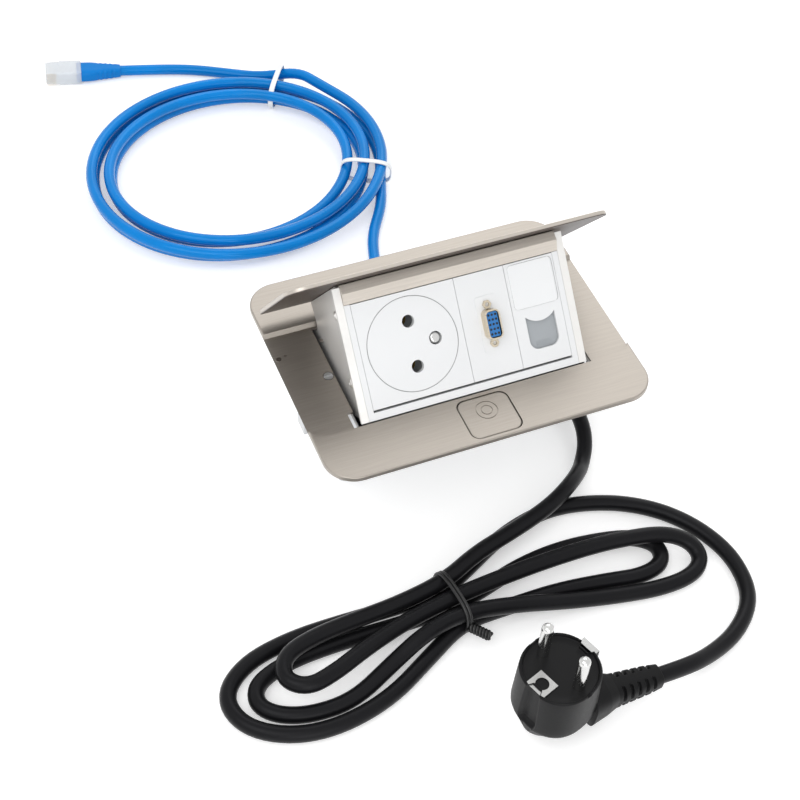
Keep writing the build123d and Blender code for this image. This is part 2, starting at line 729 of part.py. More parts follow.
cover_outer = [(a * flange_width, b * housing_height) for a, b in cover_share]
with BuildPart() as side_plate_left:
    with BuildSketch(Plane.YZ.offset(-side_inner - side_sheet)):
        with BuildLine():
            Polyline(
                face_point(bar_low_v, 0),
                face_point(side_top_v, 0),
                shut_point(lid_rear_y - shelf_run, lid_under_z - free_gap),
                shut_point(lid_rear_y - shelf_inset, lid_under_z - free_gap),
                (neck_y, neck_z),
                (neck_y, pivot_z + hub_radius),
                (pivot_y, pivot_z + hub_radius),
                (pivot_y, pivot_z - hub_radius),
                *reversed(cover_outer),
                close=True,
            )
        make_face()
        with Locations((pivot_y, pivot_z)):
            Circle(hub_radius)
            Circle(shaft_radius, mode=Mode.SUBTRACT)
    extrude(amount=side_sheet)
    with BuildSketch(face.offset(-lip_depth)):
        with Locations((-(side_inner + lip_outer) / 2, (bar_low_v + side_top_v) / 2)):
            Rectangle(lip_outer - side_inner, side_top_v - bar_low_v)
    extrude(amount=lip_depth)
side_plate_left.part.label = "side_plate_left"
export_step(side_plate_left.part, "parts/side_plate_left.step")

side_plate_right = mirror(side_plate_left.part, about=Plane.YZ)
side_plate_right.label = "side_plate_right"
export_step(side_plate_right, "parts/side_plate_right.step")

with BuildPart() as bottom_bar:
    with BuildSketch(face.offset(-bar_depth)):
        with Locations((0, (bar_low_v + bar_high_v) / 2)):
            Rectangle(2 * trim_half, bar_high_v - bar_low_v)
    extrude(amount=bar_depth)
bottom_bar.part.label = "bottom_bar"
export_step(bottom_bar.part, "parts/bottom_bar.step")

strip_gap = 0.05
with BuildPart() as filler_strips:
    with BuildSketch(face.offset(-plate_thickness)):
        strip_width = trim_half - module_width - strip_gap
        for side in (-1, 1):
            with Locations((side * (module_width + strip_gap + strip_width / 2), (bar_high_v + strip_high_v) / 2)):
                Rectangle(strip_width, strip_high_v - bar_high_v)
    extrude(amount=plate_thickness)
filler_strips.part.label = "filler_strips"
export_step(filler_strips.part, "parts/filler_strips.step")

with BuildPart() as rear_cover:
    with BuildSketch(Plane.YZ.offset(-trim_half)):
        with BuildLine():
            cover_inner = [(y, z + cover_sheet) for y, z in cover_outer]
            Polyline(*cover_outer, *reversed(cover_inner), close=True)
        make_face()
    extrude(amount=2 * trim_half)
rear_cover.part.label = "rear_cover"
export_step(rear_cover.part, "parts/rear_cover.step")

# Mains outlet: plate, sinking disc, body with the contact sleeves, earth pin.
seam = 0.1
outlet_x = -22.5
outlet_v = 22.5
disc_radius = 19.5
disc_gap = 0.35
disc_thickness = 2.6
well_floor = 14.0
hole_radius = 2.65
hole_spread = 9.5
earth_offset = 10.0
earth_radius = 2.4
earth_clear = 0.4
earth_tip = 0.4
body_inset = 2.0
body_depth = 29.0
sleeve_radius = 3.6
sleeve_depth = 28.0
disc_spring_radius = 15.5
disc_spring_wire = 0.8
disc_spring_turns = 2.5

with BuildPart() as outlet_plate:
    with BuildSketch(face.offset(-plate_thickness)):
        with Locations((outlet_x, module_height / 2 + seam / 2)):
            Rectangle(module_width - 2 * seam, module_height - seam)
        with Locations((outlet_x, outlet_v)):
            Circle(disc_radius + disc_gap, mode=Mode.SUBTRACT)
    extrude(amount=plate_thickness)
outlet_plate.part.label = "outlet_plate"
export_step(outlet_plate.part, "parts/outlet_plate.step")

with BuildPart() as socket_disc:
    with BuildSketch(face.offset(-disc_thickness)):
        with Locations((outlet_x, outlet_v)):
            Circle(disc_radius)
        with Locations((outlet_x, outlet_v - hole_spread), (outlet_x, outlet_v + hole_spread)):
            Circle(hole_radius, mode=Mode.SUBTRACT)
        with Locations((outlet_x + earth_offset, outlet_v)):
            Circle(earth_radius + earth_clear, mode=Mode.SUBTRACT)
    extrude(amount=disc_thickness)
socket_disc.part.label = "socket_disc"
export_step(socket_disc.part, "parts/socket_disc.step")

with BuildPart() as outlet_body:
    with BuildSketch(face.offset(-body_depth)):
        with Locations((outlet_x, module_height / 2)):
            Rectangle(module_width - 2 * body_inset, module_height - 2 * body_inset)
    extrude(amount=body_depth - plate_thickness)
    with BuildSketch(face.offset(-well_floor)):
        with Locations((outlet_x, outlet_v)):
            Circle(disc_radius + disc_gap)
    extrude(amount=well_floor - plate_thickness, mode=Mode.SUBTRACT)
    with BuildSketch(face.offset(-sleeve_depth)):
        with Locations((outlet_x, outlet_v - hole_spread), (outlet_x, outlet_v + hole_spread)):
            Circle(sleeve_radius)
    extrude(amount=sleeve_depth - well_floor, mode=Mode.SUBTRACT)
outlet_body.part.label = "outlet_body"
export_step(outlet_body.part, "parts/outlet_body.step")

with BuildPart() as outlet_contacts:
    with BuildSketch(face.offset(-sleeve_depth)):
        with Locations((outlet_x, outlet_v - hole_spread), (outlet_x, outlet_v + hole_spread)):
            Circle(sleeve_radius)
            Circle(hole_radius, mode=Mode.SUBTRACT)
    extrude(amount=sleeve_depth - well_floor)
outlet_contacts.part.label = "outlet_contacts"
export_step(outlet_contacts.part, "parts/outlet_contacts.step")

with BuildPart() as earth_pin:
    with BuildSketch(face.offset(-well_floor)):
        with Locations((outlet_x + earth_offset, outlet_v)):
            Circle(earth_radius)
    extrude(amount=well_floor - earth_tip)
    fillet(earth_pin.edges().group_by(Axis(origin=(0, 0, 0), direction=tuple(face.z_dir)))[-1], earth_radius / 2)
earth_pin.part.label = "earth_pin"
export_step(earth_pin.part, "parts/earth_pin.step")

with BuildPart() as disc_spring:
    disc_rise = well_floor - disc_thickness - disc_spring_wire
    disc_centre = face.offset(-well_floor + disc_spring_wire / 2) * Pos(outlet_x, outlet_v)
    disc_path = disc_centre * Helix(disc_rise / disc_spring_turns, disc_rise, disc_spring_radius)
    with BuildSketch(Plane(origin=disc_path @ 0, z_dir=disc_path % 0)):
        Circle(disc_spring_wire / 2)
    sweep(path=disc_path)
disc_spring.part.label = "disc_spring"
export_step(disc_spring.part, "parts/disc_spring.step")

# Video outlet: narrow plate with a raised panel, metal shell, insert and two jack screws.
half_module = 22.5
video_x = 11.25
video_u = 11.9
video_v = 22.3
video_panel_width = 9.4
video_panel_height = 23.6
video_panel_rise = 0.3
video_corner = 1.2
shell_width = 6.6
shell_height = 12.4
shell_reach = 5.0
shell_wall = 0.6
shell_corner = 2.2
insert_recess = 0.8
insert_depth = 12.0
insert_gap = 0.7
contact_radius = 0.45
contact_depth = 2.0
contact_pitch_v = 2.0
contact_pitch_u = 1.5
jack_spread = 8.2
jack_radius = 1.9
jack_height = 1.2
jack_bore = 0.9

with BuildPart() as video_plate:
    with BuildSketch(face.offset(-plate_thickness)):
        with Locations((video_x, module_height / 2 + seam / 2)):
            Rectangle(half_module - 2 * seam, module_height - seam)
        with Locations((video_u, video_v)):
            RectangleRounded(shell_width, shell_height, shell_corner, mode=Mode.SUBTRACT)
    extrude(amount=plate_thickness)
    with BuildSketch(face):
        with Locations((video_u, video_v)):
            RectangleRounded(video_panel_width, video_panel_height, video_corner)
            RectangleRounded(shell_width, shell_height, shell_corner, mode=Mode.SUBTRACT)
    extrude(amount=video_panel_rise)
video_plate.part.label = "video_plate"
export_step(video_plate.part, "parts/video_plate.step")

with BuildPart() as video_shell:
    with BuildSketch(face.offset(-plate_thickness)):
        with Locations((video_u, video_v)):
            RectangleRounded(shell_width, shell_height, shell_corner)
            RectangleRounded(
                shell_width - 2 * shell_wall, shell_height - 2 * shell_wall, shell_corner - shell_wall, mode=Mode.SUBTRACT
            )
    extrude(amount=plate_thickness + shell_reach)
video_shell.part.label = "video_shell"
export_step(video_shell.part, "parts/video_shell.step")

with BuildPart() as video_insert:
    with BuildSketch(face.offset(-insert_depth)):
        with Locations((video_u, video_v)):
            inner_width = shell_width - 2 * shell_wall - insert_gap
            RectangleRounded(inner_width, shell_height - 2 * shell_wall - insert_gap, shell_corner - 2 * shell_wall)
    extrude(amount=insert_depth + shell_reach - insert_recess)
    with BuildSketch(face.offset(-insert_depth)):
        with Locations((video_u, video_v)):
            Rectangle(module_width / 4, module_height / 2)
    extrude(amount=insert_depth - plate_thickness)
    with BuildSketch(face.offset(shell_reach - insert_recess)):
        with Locations((video_u, video_v)):
            with GridLocations(contact_pitch_u, contact_pitch_v, 3, 5):
                Circle(contact_radius)
    extrude(amount=-contact_depth, mode=Mode.SUBTRACT)
video_insert.part.label = "video_insert"
export_step(video_insert.part, "parts/video_insert.step")

with BuildPart() as video_screws:
    with BuildSketch(face.offset(video_panel_rise)):
        with Locations((video_u, video_v - jack_spread), (video_u, video_v + jack_spread)):
            RegularPolygon(jack_radius, 6)
            Circle(jack_bore, mode=Mode.SUBTRACT)
    extrude(amount=jack_height)
video_screws.part.label = "video_screws"
export_step(video_screws.part, "parts/video_screws.step")

# Data outlet: plate with a window recess and a shutter channel, window, shutter, jack.
data_x = 33.75
data_u = 34.4
shutter_width = 13.4
shutter_low_v = 6.4
shutter_high_v = 20.8
shutter_dip = 2.8
shutter_lap = 0.7
shutter_thickness = 1.2
shutter_back = 2.8
shutter_travel = 13.0
channel_floor = 1.3
window_low_v = 24.6
window_high_v = 43.4
window_width = 19.6
window_sink = 0.5
window_proud = 0.5
window_corner = 1.5
shutter_corner = 4.0
jack_width = 15.8
jack_body_low = 4.0
jack_body_high = 31.0
jack_body_depth = 20.0
jack_port_width = 11.8
jack_port_height = 8.2
jack_port_depth = 13.0
jack_port_v = 12.5
ridge = 0.4

with BuildPart() as data_plate:
    with BuildSketch(face.offset(-plate_thickness)):
        with Locations((data_x, module_height / 2 + seam / 2)):
            Rectangle(half_module - 2 * seam, module_height - seam)
    extrude(amount=plate_thickness)
    with BuildSketch(face.offset(-plate_thickness)) as port_sketch:
        with Locations((data_u, (shutter_low_v + shutter_high_v) / 2)):
            Rectangle(shutter_width, shutter_high_v - shutter_low_v)
        fillet(port_sketch.vertices().group_by(Axis.Y)[0], shutter_corner)
        with BuildLine():
            left_top = (data_u - shutter_width / 2, shutter_high_v)
            right_top = (data_u + shutter_width / 2, shutter_high_v)
            ThreePointArc(left_top, (data_u, shutter_high_v - shutter_dip), right_top)
            Line(right_top, left_top)
        make_face(mode=Mode.SUBTRACT)
    extrude(amount=plate_thickness, mode=Mode.SUBTRACT)
    with BuildSketch(face.offset(-plate_thickness)):
        channel_low = shutter_low_v - 2 * shutter_lap
        channel_high = shutter_high_v + shutter_travel + 2 * shutter_lap
        with Locations((data_u, (channel_low + channel_high) / 2)):
            Rectangle(shutter_width + 4 * shutter_lap, channel_high - channel_low)
    extrude(amount=plate_thickness - channel_floor, mode=Mode.SUBTRACT)
    with BuildSketch(face.offset(-window_sink)):
        with Locations((data_x, (window_low_v + window_high_v) / 2)):
            RectangleRounded(window_width, window_high_v - window_low_v, window_corner)
    extrude(amount=window_sink, mode=Mode.SUBTRACT)
data_plate.part.label = "data_plate"
export_step(data_plate.part, "parts/data_plate.step")

with BuildPart() as label_window:
    with BuildSketch(face.offset(-window_sink)):
        with Locations((data_x, (window_low_v + window_high_v) / 2)):
            RectangleRounded(window_width, window_high_v - window_low_v, window_corner)
    extrude(amount=window_sink + window_proud)
label_window.part.label = "label_window"
export_step(label_window.part, "parts/label_window.step")

with BuildPart() as data_shutter:
    with BuildSketch(face.offset(-shutter_back)) as shutter_sketch:
        with Locations((data_u, (shutter_low_v + shutter_high_v) / 2)):
            Rectangle(shutter_width + 2 * shutter_lap, shutter_high_v - shutter_low_v + 2 * shutter_lap)
    extrude(amount=shutter_thickness)
    with BuildSketch(face.offset(-shutter_back + shutter_thickness)):
        with Locations((data_u, shutter_low_v + shutter_corner / 2)):
            with GridLocations(0, ridge * 2, 1, 3):
                Rectangle(shutter_width / 2, ridge)
    extrude(amount=ridge / 2)
data_shutter.part.label = "data_shutter"
export_step(data_shutter.part, "parts/data_shutter.step")

with BuildPart() as data_jack:
    with BuildSketch(face.offset(-jack_body_depth)):
        with Locations((data_u, (jack_body_low + jack_body_high) / 2)):
            Rectangle(jack_width, jack_body_high - jack_body_low)
    extrude(amount=jack_body_depth - plate_thickness - strip_gap)
    with BuildSketch(face.offset(-plate_thickness)):
        with Locations((data_u, jack_port_v)):
            Rectangle(jack_port_width, jack_port_height)
    extrude(amount=-jack_port_depth, mode=Mode.SUBTRACT)
data_jack.part.label = "data_jack"
export_step(data_jack.part, "parts/data_jack.step")

# Mains cord: a lead from the gland, the tied hank and the tail to the plug. Points are in millimetres.
mains_radius = 3.5
bend_share = 0.45
lead_route = [
    (60, -14, 10),
    (60, -23, 10),
    (57.5, -34, 6.5),
    (51, -43.5, 4),
    (44.5, -50.5, 8.5),
    (36.5, -57, 11.3),
    (26, -62.8, 11.4),
    (14, -67, 11.2),
    (0, -71, 11.2),
    (-15.5, -75.2, 11.3),
    (-24.6, -79.6, 11.8),
]
hank_route = [
    (-24.6, -79.6, 11.8),
    (-33.7, -84, 12.3),
    (-55, -87, 11.3),
    (-74, -87.8, 11),
    (-93, -89.3, 11),
    (-107, -93.5, 11),
    (-111, -103.5, 11),
    (-103, -110.5, 11),
    (-90, -107.5, 11),
    (-75, -101.5, 11),
    (-56, -95.8, 11.3),
    (-33, -92.3, 12.3),
    (-10, -90, 11.8),
    (12, -88.2, 10.4),
    (34, -88.5, 10.8),
    (50, -90.5, 11.3),
    (64, -93.2, 11.2),
    (75, -98, 7),
    (77.5, -106, 3.8),
    (70, -112.6, 3.5),
    (54, -113.8, 3.5),
    (34, -110.6, 3.6),
    (12, -107, 6),
    (-10, -103.8, 11),
    (-32.2, -100.4, 12.3),
    (-50, -103.6, 11.5),
    (-66, -109, 6.4),
    (-86, -118, 3.5),
    (-104, -118.3, 3.5),
    (-116.5, -114, 3.5),
    (-123, -106.8, 3.5),
    (-121, -98.8, 3.5),
    (-112, -94.2, 3.5),
    (-99, -91.7, 3.5),
    (-79, -91.2, 3.5),
    (-55, -92, 3.6),
    (-33, -92.5, 4.7),
    (-15, -87.5, 3.6),
    (2, -82.5, 3.5),
    (22, -80.6, 3.5),
    (41, -82.6, 3.5),
    (55, -86.2, 3.5),
    (63, -93.5, 3.5),
    (60.5, -102.6, 3.5),
    (49, -105.4, 3.5),
    (34, -102.5, 3.5),
    (12, -99.5, 3.5),
    (-10, -99.6, 3.6),
    (-32.2, -100.4, 4.7),
    (-52, -111, 3.6),
    (-72, -122, 3.5),
    (-95, -127, 3.5),
    (-115, -124.5, 3.5),
    (-131, -114, 3.5),
    (-134.5, -98.5, 3.5),
    (-121.5, -87, 3.5),
    (-101, -82.8, 3.5),
    (-79, -82.6, 3.5),
    (-56, -83.6, 3.6),
    (-33.7, -84, 4.7),
    (-25.7, -79.8, 4.15),
]
tail_route = [
    (-25.7, -79.8, 4.15),
    (-17.8, -75.6, 3.6),
    (-2, -67.2, 3.5),
    (14.5, -61.8, 3.5),
    (30, -60, 3.5),
    (46.5, -63.2, 3.5),
    (61.5, -69.5, 3.5),
    (74.8, -79.6, 3.5),
    (84.5, -93, 3.5),
    (90, -108.7, 3.5),
    (89, -124.8, 3.5),
    (83.3, -135.6, 3.5),
    (71.5, -144.8, 3.6),
    (57, -150.5, 5.5),
    (42, -154.6, 10.5),
    (25, -154.9, 12),
]


def bend_radii(points):
    radii = []
    for before, here, after in zip(points, points[1:], points[2:]):
        run_in = Vector(*here) - Vector(*before)
        run_out = Vector(*after) - Vector(*here)
        half_turn = radians(run_in.get_angle(run_out)) / 2
        radii.append(bend_share * min(run_in.length, run_out.length) / tan(half_turn))
    return radii


def least_gap(path, radius, near=30.0, step=1.5):
    count = int(path.length / step)
    points = [path.position_at(number / count) for number in range(count + 1)]
    skip = int(near / step)
    return min((a - b).length for first, a in enumerate(points) for b in points[first + skip :]) - 2 * radius


for route in (lead_route, hank_route, tail_route):
    print("radii", [round(radius) for radius in bend_radii(route)])

with BuildPart() as power_cord_lead:
    with BuildLine() as lead_line:
        FilletPolyline(*lead_route, radius=bend_radii(lead_route))
    with BuildSketch(Plane(origin=lead_line.line @ 0, z_dir=lead_line.line % 0)):
        Circle(mains_radius)
    sweep()
power_cord_lead.part.label = "power_cord_lead"
export_step(power_cord_lead.part, "parts/power_cord_lead.step")

with BuildPart() as power_cord_hank:
    with BuildLine() as hank_line:
        FilletPolyline(*hank_route, radius=bend_radii(hank_route))
    with BuildSketch(Plane(origin=hank_line.line @ 0, z_dir=hank_line.line % 0)):
        Circle(mains_radius)
    sweep()
power_cord_hank.part.label = "power_cord_hank"
export_step(power_cord_hank.part, "parts/power_cord_hank.step")

with BuildPart() as power_cord_tail:
    with BuildLine() as tail_line:
        FilletPolyline(*tail_route, radius=bend_radii(tail_route))
    with BuildSketch(Plane(origin=tail_line.line @ 0, z_dir=tail_line.line % 0)):
        Circle(mains_radius)
    sweep()
power_cord_tail.part.label = "power_cord_tail"
export_step(power_cord_tail.part, "parts/power_cord_tail.step")

print("mains lengths", [round(line.wire().length) for line in (lead_line, hank_line, tail_line)])
print("hank gap", round(least_gap(hank_line.wire(), mains_radius), 2))

tie_half_width = 13.7
tie_low = 0.85
tie_high = 16.4
tie_band = 0.8
tie_depth = 3.6
tie_corner = 3.4
tie_x = -33.0
tie_y = -92.3
tie_turn = 6.0

with BuildPart() as cord_tie:
    tie_plane = Plane(
        origin=(tie_x, tie_y, (tie_low + tie_high) / 2),
        x_dir=(-sin(radians(tie_turn)), cos(radians(tie_turn)), 0),
        z_dir=(cos(radians(tie_turn)), sin(radians(tie_turn)), 0),
    )
    with BuildSketch(tie_plane):
        RectangleRounded(2 * (tie_half_width + tie_band), tie_high - tie_low + 2 * tie_band, tie_corner + tie_band)
        RectangleRounded(2 * tie_half_width, tie_high - tie_low, tie_corner, mode=Mode.SUBTRACT)
    extrude(amount=tie_depth / 2, both=True)
cord_tie.part.label = "cord_tie"
export_step(cord_tie.part, "parts/cord_tie.step")

# Mains plug, standing on its back: round body, pins up, cord leaving low on one side.
plug_x = -17.0
plug_y = -152.0
plug_radius = 17.3
plug_height = 39.0
plug_shoulder = 14.0
plug_base_width = 18.0
plug_base_depth = 13.0
plug_base_shift = 3.0
plug_turn = 20.0
plug_groove = 1.6
plug_groove_width = 4.5
pin_radius = 2.4
pin_spacing = 19.0
pin_length = 19.0
earth_hole_radius = 2.7
earth_hole_depth = 17.0
earth_plate = 1.0
clip_width = 8.0
clip_thickness = 1.4
clip_low = 22.6
relief_start = 15.0
relief_width = 13.0
relief_end_width = 9.6
rib_count = 4
rib_depth = 1.2
rib_width = 1.3
rib_pitch = 3.6

turn = radians(plug_turn)
plug_axis = (cos(turn), sin(turn))
pin_axis = (sin(turn), -cos(turn))
pin_points = [
    (plug_x + side * pin_axis[0] * pin_spacing / 2, plug_y + side * pin_axis[1] * pin_spacing / 2) for side in (-1, 1)
]
earth_point = (plug_x - plug_axis[0] * earth_offset, plug_y - plug_axis[1] * earth_offset)
clip_point = (plug_x + plug_axis[0] * (plug_radius - clip_thickness), plug_y + plug_axis[1] * (plug_radius - clip_thickness))

with BuildPart() as plug_relief:
    relief_point = Vector(*tail_route[-1])
    relief_dir = (relief_point - Vector(*tail_route[-2])).normalized()
    relief_end = Plane(origin=relief_point, x_dir=(relief_dir.Y, -relief_dir.X, 0), z_dir=relief_dir)
    relief_length = relief_point.X - plug_x - relief_start
    with BuildSketch(relief_end):
        RectangleRounded(relief_end_width, relief_end_width, relief_end_width / 4)
    with BuildSketch(relief_end.offset(relief_length)):
        RectangleRounded(relief_width, relief_width, relief_width / 4)
    loft()
    for number in range(rib_count):
        with BuildSketch(relief_end.offset((number + 1) * rib_pitch)):
            Rectangle(relief_width + 2 * rib_depth, relief_width + 2 * rib_depth)
            Rectangle(relief_end_width - rib_depth / 2, relief_end_width - rib_depth / 2, mode=Mode.SUBTRACT)
            Rectangle(rib_depth * 2, relief_width + 2 * rib_depth, mode=Mode.SUBTRACT)
            Rectangle(relief_width + 2 * rib_depth, rib_depth * 2, mode=Mode.SUBTRACT)
        extrude(amount=rib_width, mode=Mode.SUBTRACT)
plug_relief.part.label = "plug_relief"
export_step(plug_relief.part, "parts/plug_relief.step")

with BuildPart() as plug_body:
    with BuildSketch(Plane.XY.offset(plug_shoulder)):
        with Locations((plug_x, plug_y)):
            Circle(plug_radius)
            with Locations(Location((0, 0), plug_turn + 90)):
                with Locations((-plug_radius, 0), (plug_radius, 0)):
                    Rectangle(2 * plug_groove, plug_groove_width, mode=Mode.SUBTRACT)
    extrude(amount=plug_height - plug_shoulder)
    with BuildSketch(Plane.XY):
        with Locations((plug_x + plug_base_shift, plug_y)):
            RectangleRounded(plug_base_width, plug_base_depth, plug_base_depth / 4)
    with BuildSketch(Plane.XY.offset(plug_shoulder)):
        with Locations((plug_x, plug_y)):
            Circle(plug_radius)
    loft()
    with BuildSketch(Plane.XY.offset(plug_height)):
        with Locations(earth_point):
            Circle(earth_hole_radius)
    extrude(amount=-earth_hole_depth, mode=Mode.SUBTRACT)
    with BuildSketch(Plane.XY.offset(plug_height)):
        with Locations(Location(clip_point, plug_turn)):
            Rectangle(2 * clip_thickness, clip_width)
    extrude(amount=clip_low - plug_height, mode=Mode.SUBTRACT)
    add(plug_relief.part, mode=Mode.SUBTRACT)
plug_body.part.label = "plug_body"
export_step(plug_body.part, "parts/plug_body.step")

with BuildPart() as plug_pins:
    with BuildSketch(Plane.XY.offset(plug_height)):
        with Locations(*pin_points):
            Circle(pin_radius)
    extrude(amount=pin_length)
    fillet(plug_pins.edges().group_by(Axis.Z)[-1], pin_radius * bend_share * 2)
plug_pins.part.label = "plug_pins"
export_step(plug_pins.part, "parts/plug_pins.step")

with BuildPart() as plug_earth:
    with BuildSketch(Plane.XY.offset(plug_height)):
        with Locations(Location(earth_point, plug_turn)):
            Rectangle(clip_width, clip_width + earth_plate)
            Circle(earth_hole_radius, mode=Mode.SUBTRACT)
    extrude(amount=earth_plate / 2)
    with BuildSketch(Plane.XY.offset(clip_low)):
        with Locations(Location(clip_point, plug_turn)):
            Rectangle(clip_thickness * 2, clip_width)
    extrude(amount=plug_height - clip_low)
plug_earth.part.label = "plug_earth"
export_step(plug_earth.part, "parts/plug_earth.step")

# Data cord: a lead from the rear gland, an oval coil in two layers, the tail to the boot and plug.
data_radius = 2.8
coil_x = -32.0
coil_y = 193.5
coil_outer_a = 78.0
coil_outer_b = 71.0
coil_step_a = 9.0
coil_step_b = 10.0
coil_turns = 4.19
coil_in_turns = 2.0
coil_start_angle = -30.6
coil_low_z = 4.0
coil_layer = 6.1
coil_points = 72
coil_run = 15.0
data_lead_route = [
    (3, 56.4, 9),
    (3, 66, 9),
    (4.2, 79, 6),
    (8, 92, 2.9),
    (12.5, 109.5, 2.8),
    (18, 126, 2.9),
]
data_tail_route = [
    (6, 260.5, 4),
    (-10, 271, 2.8),
    (-25, 279.3, 2.8),
    (-42, 285.8, 2.8),
    (-64.7, 291, 3.6),
]


def coil_point(turns):
    inward = min(turns, 2 * coil_in_turns - turns)
    a = coil_outer_a - coil_step_a * inward
    b = coil_outer_b - coil_step_b * inward
    angle = radians(coil_start_angle + 360 * turns)
    climb = min(max(2 * (turns - coil_in_turns) + 0.5, 0), 1)
    rise = climb * climb * (3 - 2 * climb)
    return Vector(coil_x + a * cos(angle), coil_y + b * sin(angle), coil_low_z + coil_layer * rise)


coil_route = [tuple(coil_point(coil_turns * number / coil_points)) for number in range(coil_points + 1)]
coil_begin = Vector(*coil_route[0])
coil_finish = Vector(*coil_route[-1])
data_lead_route.append(tuple(coil_begin + (coil_begin - Vector(*coil_route[1])).normalized() * coil_run))
data_lead_route.append(coil_route[0])
data_tail_route.insert(0, tuple(coil_finish + (coil_finish - Vector(*coil_route[-2])).normalized() * coil_run))
data_tail_route.insert(0, coil_route[-1])
data_routes = (data_lead_route, coil_route, data_tail_route)
for route in data_routes:
    print("data radii", [round(radius) for radius in bend_radii(route)])

with BuildPart() as data_cord_lead:
    with BuildLine() as data_lead_line:
        FilletPolyline(*data_lead_route, radius=bend_radii(data_lead_route))
    with BuildSketch(Plane(origin=data_lead_line.line @ 0, z_dir=data_lead_line.line % 0)):
        Circle(data_radius)
    sweep()
data_cord_lead.part.label = "data_cord_lead"
export_step(data_cord_lead.part, "parts/data_cord_lead.step")

with BuildPart() as data_cord_coil:
    with BuildLine() as coil_line:
        FilletPolyline(*coil_route, radius=bend_radii(coil_route))
    with BuildSketch(Plane(origin=coil_line.line @ 0, z_dir=coil_line.line % 0)):
        Circle(data_radius)
    sweep()
data_cord_coil.part.label = "data_cord_coil"
export_step(data_cord_coil.part, "parts/data_cord_coil.step")

with BuildPart() as data_cord_tail:
    with BuildLine() as data_tail_line:
        FilletPolyline(*data_tail_route, radius=bend_radii(data_tail_route))
    with BuildSketch(Plane(origin=data_tail_line.line @ 0, z_dir=data_tail_line.line % 0)):
        Circle(data_radius)
    sweep()
data_cord_tail.part.label = "data_cord_tail"
export_step(data_cord_tail.part, "parts/data_cord_tail.step")

print("data lengths", [round(line.wire().length) for line in (data_lead_line, coil_line, data_tail_line)])
print("coil gap", round(least_gap(coil_line.wire(), data_radius), 2))

# Flat oval ties round both layers of the coil, at two places.
coil_tie_width = 3.0
coil_tie_band = 0.7
coil_tie_low = 0.9
coil_tie_high = 13.3
coil_tie_turns = (0.0155, 0.2375)
coil_tie_inward = 6.5
coil_tie_reach = 15.8
coil_tie_corner = 3.2

with BuildPart() as coil_ties:
    for turns in coil_tie_turns:
        angle = radians(coil_start_angle + 360 * turns)
        outward = Vector(cos(angle) / coil_outer_a, sin(angle) / coil_outer_b).normalized()
        along = Vector(-outward.Y, outward.X)
        middle = Vector(coil_x + coil_outer_a * cos(angle), coil_y + coil_outer_b * sin(angle)) - outward * coil_tie_inward
        centre = (middle.X, middle.Y, (coil_tie_low + coil_tie_high) / 2)
        with BuildSketch(Plane(origin=centre, x_dir=(outward.X, outward.Y, 0), z_dir=(along.X, along.Y, 0))):
            RectangleRounded(
                2 * (coil_tie_reach + coil_tie_band),
                coil_tie_high - coil_tie_low + 2 * coil_tie_band,
                coil_tie_corner + coil_tie_band,
            )
            RectangleRounded(2 * coil_tie_reach, coil_tie_high - coil_tie_low, coil_tie_corner, mode=Mode.SUBTRACT)
        extrude(amount=coil_tie_width / 2, both=True)
coil_ties.part.label = "coil_ties"
export_step(coil_ties.part, "parts/coil_ties.step")

# Data plug: a moulded boot that takes the cord and a clear plug body with its contacts.
boot_length = 22.0
boot_width = 11.0
boot_height = 7.6
boot_end_width = 6.6
plug_nose_length = 18.0
plug_nose_width = 11.7
plug_nose_height = 8.2
latch_width = 6.2
latch_thickness = 1.2
latch_rise = 3.0
contact_count = 8
contact_pitch = 1.02
contact_width = 0.4
contact_length = 5.0
contact_depth = 0.7
contact_sink = 0.3
boot_grips = 3
boot_grip_pitch = 4.0
boot_grip_depth = 0.6

data_end = Vector(*data_tail_route[-1])
data_heading = (data_end - Vector(*data_tail_route[-2])).normalized()
boot_start = Plane(origin=data_end, x_dir=(data_heading.Y, -data_heading.X, 0), z_dir=data_heading)
nose_start = boot_start.offset(boot_length)

with BuildPart() as data_plug_boot:
    with BuildSketch(boot_start):
        RectangleRounded(boot_end_width, boot_end_width, boot_end_width / 3)
    with BuildSketch(nose_start):
        RectangleRounded(boot_width, boot_height, boot_height / 4)
    loft()
    for number in range(boot_grips):
        with BuildSketch(boot_start.offset((number + 1) * boot_grip_pitch)):
            Rectangle(2 * boot_width, 2 * boot_width)
            Rectangle(boot_width - 2 * boot_grip_depth, 2 * boot_width, mode=Mode.SUBTRACT)
        extrude(amount=boot_grip_pitch / 3, mode=Mode.SUBTRACT)
data_plug_boot.part.label = "data_plug_boot"
export_step(data_plug_boot.part, "parts/data_plug_boot.step")

contact_shifts = [(number - (contact_count - 1) / 2) * contact_pitch for number in range(contact_count)]
contact_start = nose_start.offset(plug_nose_length - contact_length - contact_sink)

with BuildPart() as data_plug:
    with BuildSketch(nose_start):
        Rectangle(plug_nose_width, plug_nose_height)
    extrude(amount=plug_nose_length)
    with BuildSketch(contact_start):
        for shift in contact_shifts:
            with Locations((shift, plug_nose_height / 2)):
                Rectangle(contact_width, 2 * contact_depth)
    extrude(amount=2 * contact_length, mode=Mode.SUBTRACT)
    with BuildSketch(nose_start.offset(plug_nose_length)):
        with Locations((0, -plug_nose_height / 2)):
            Rectangle(latch_width, 2 * latch_thickness)
    with BuildSketch(nose_start):
        with Locations((0, -plug_nose_height / 2 - latch_rise / 2)):
            Rectangle(latch_width, latch_thickness)
    loft()
data_plug.part.label = "data_plug"
export_step(data_plug.part, "parts/data_plug.step")

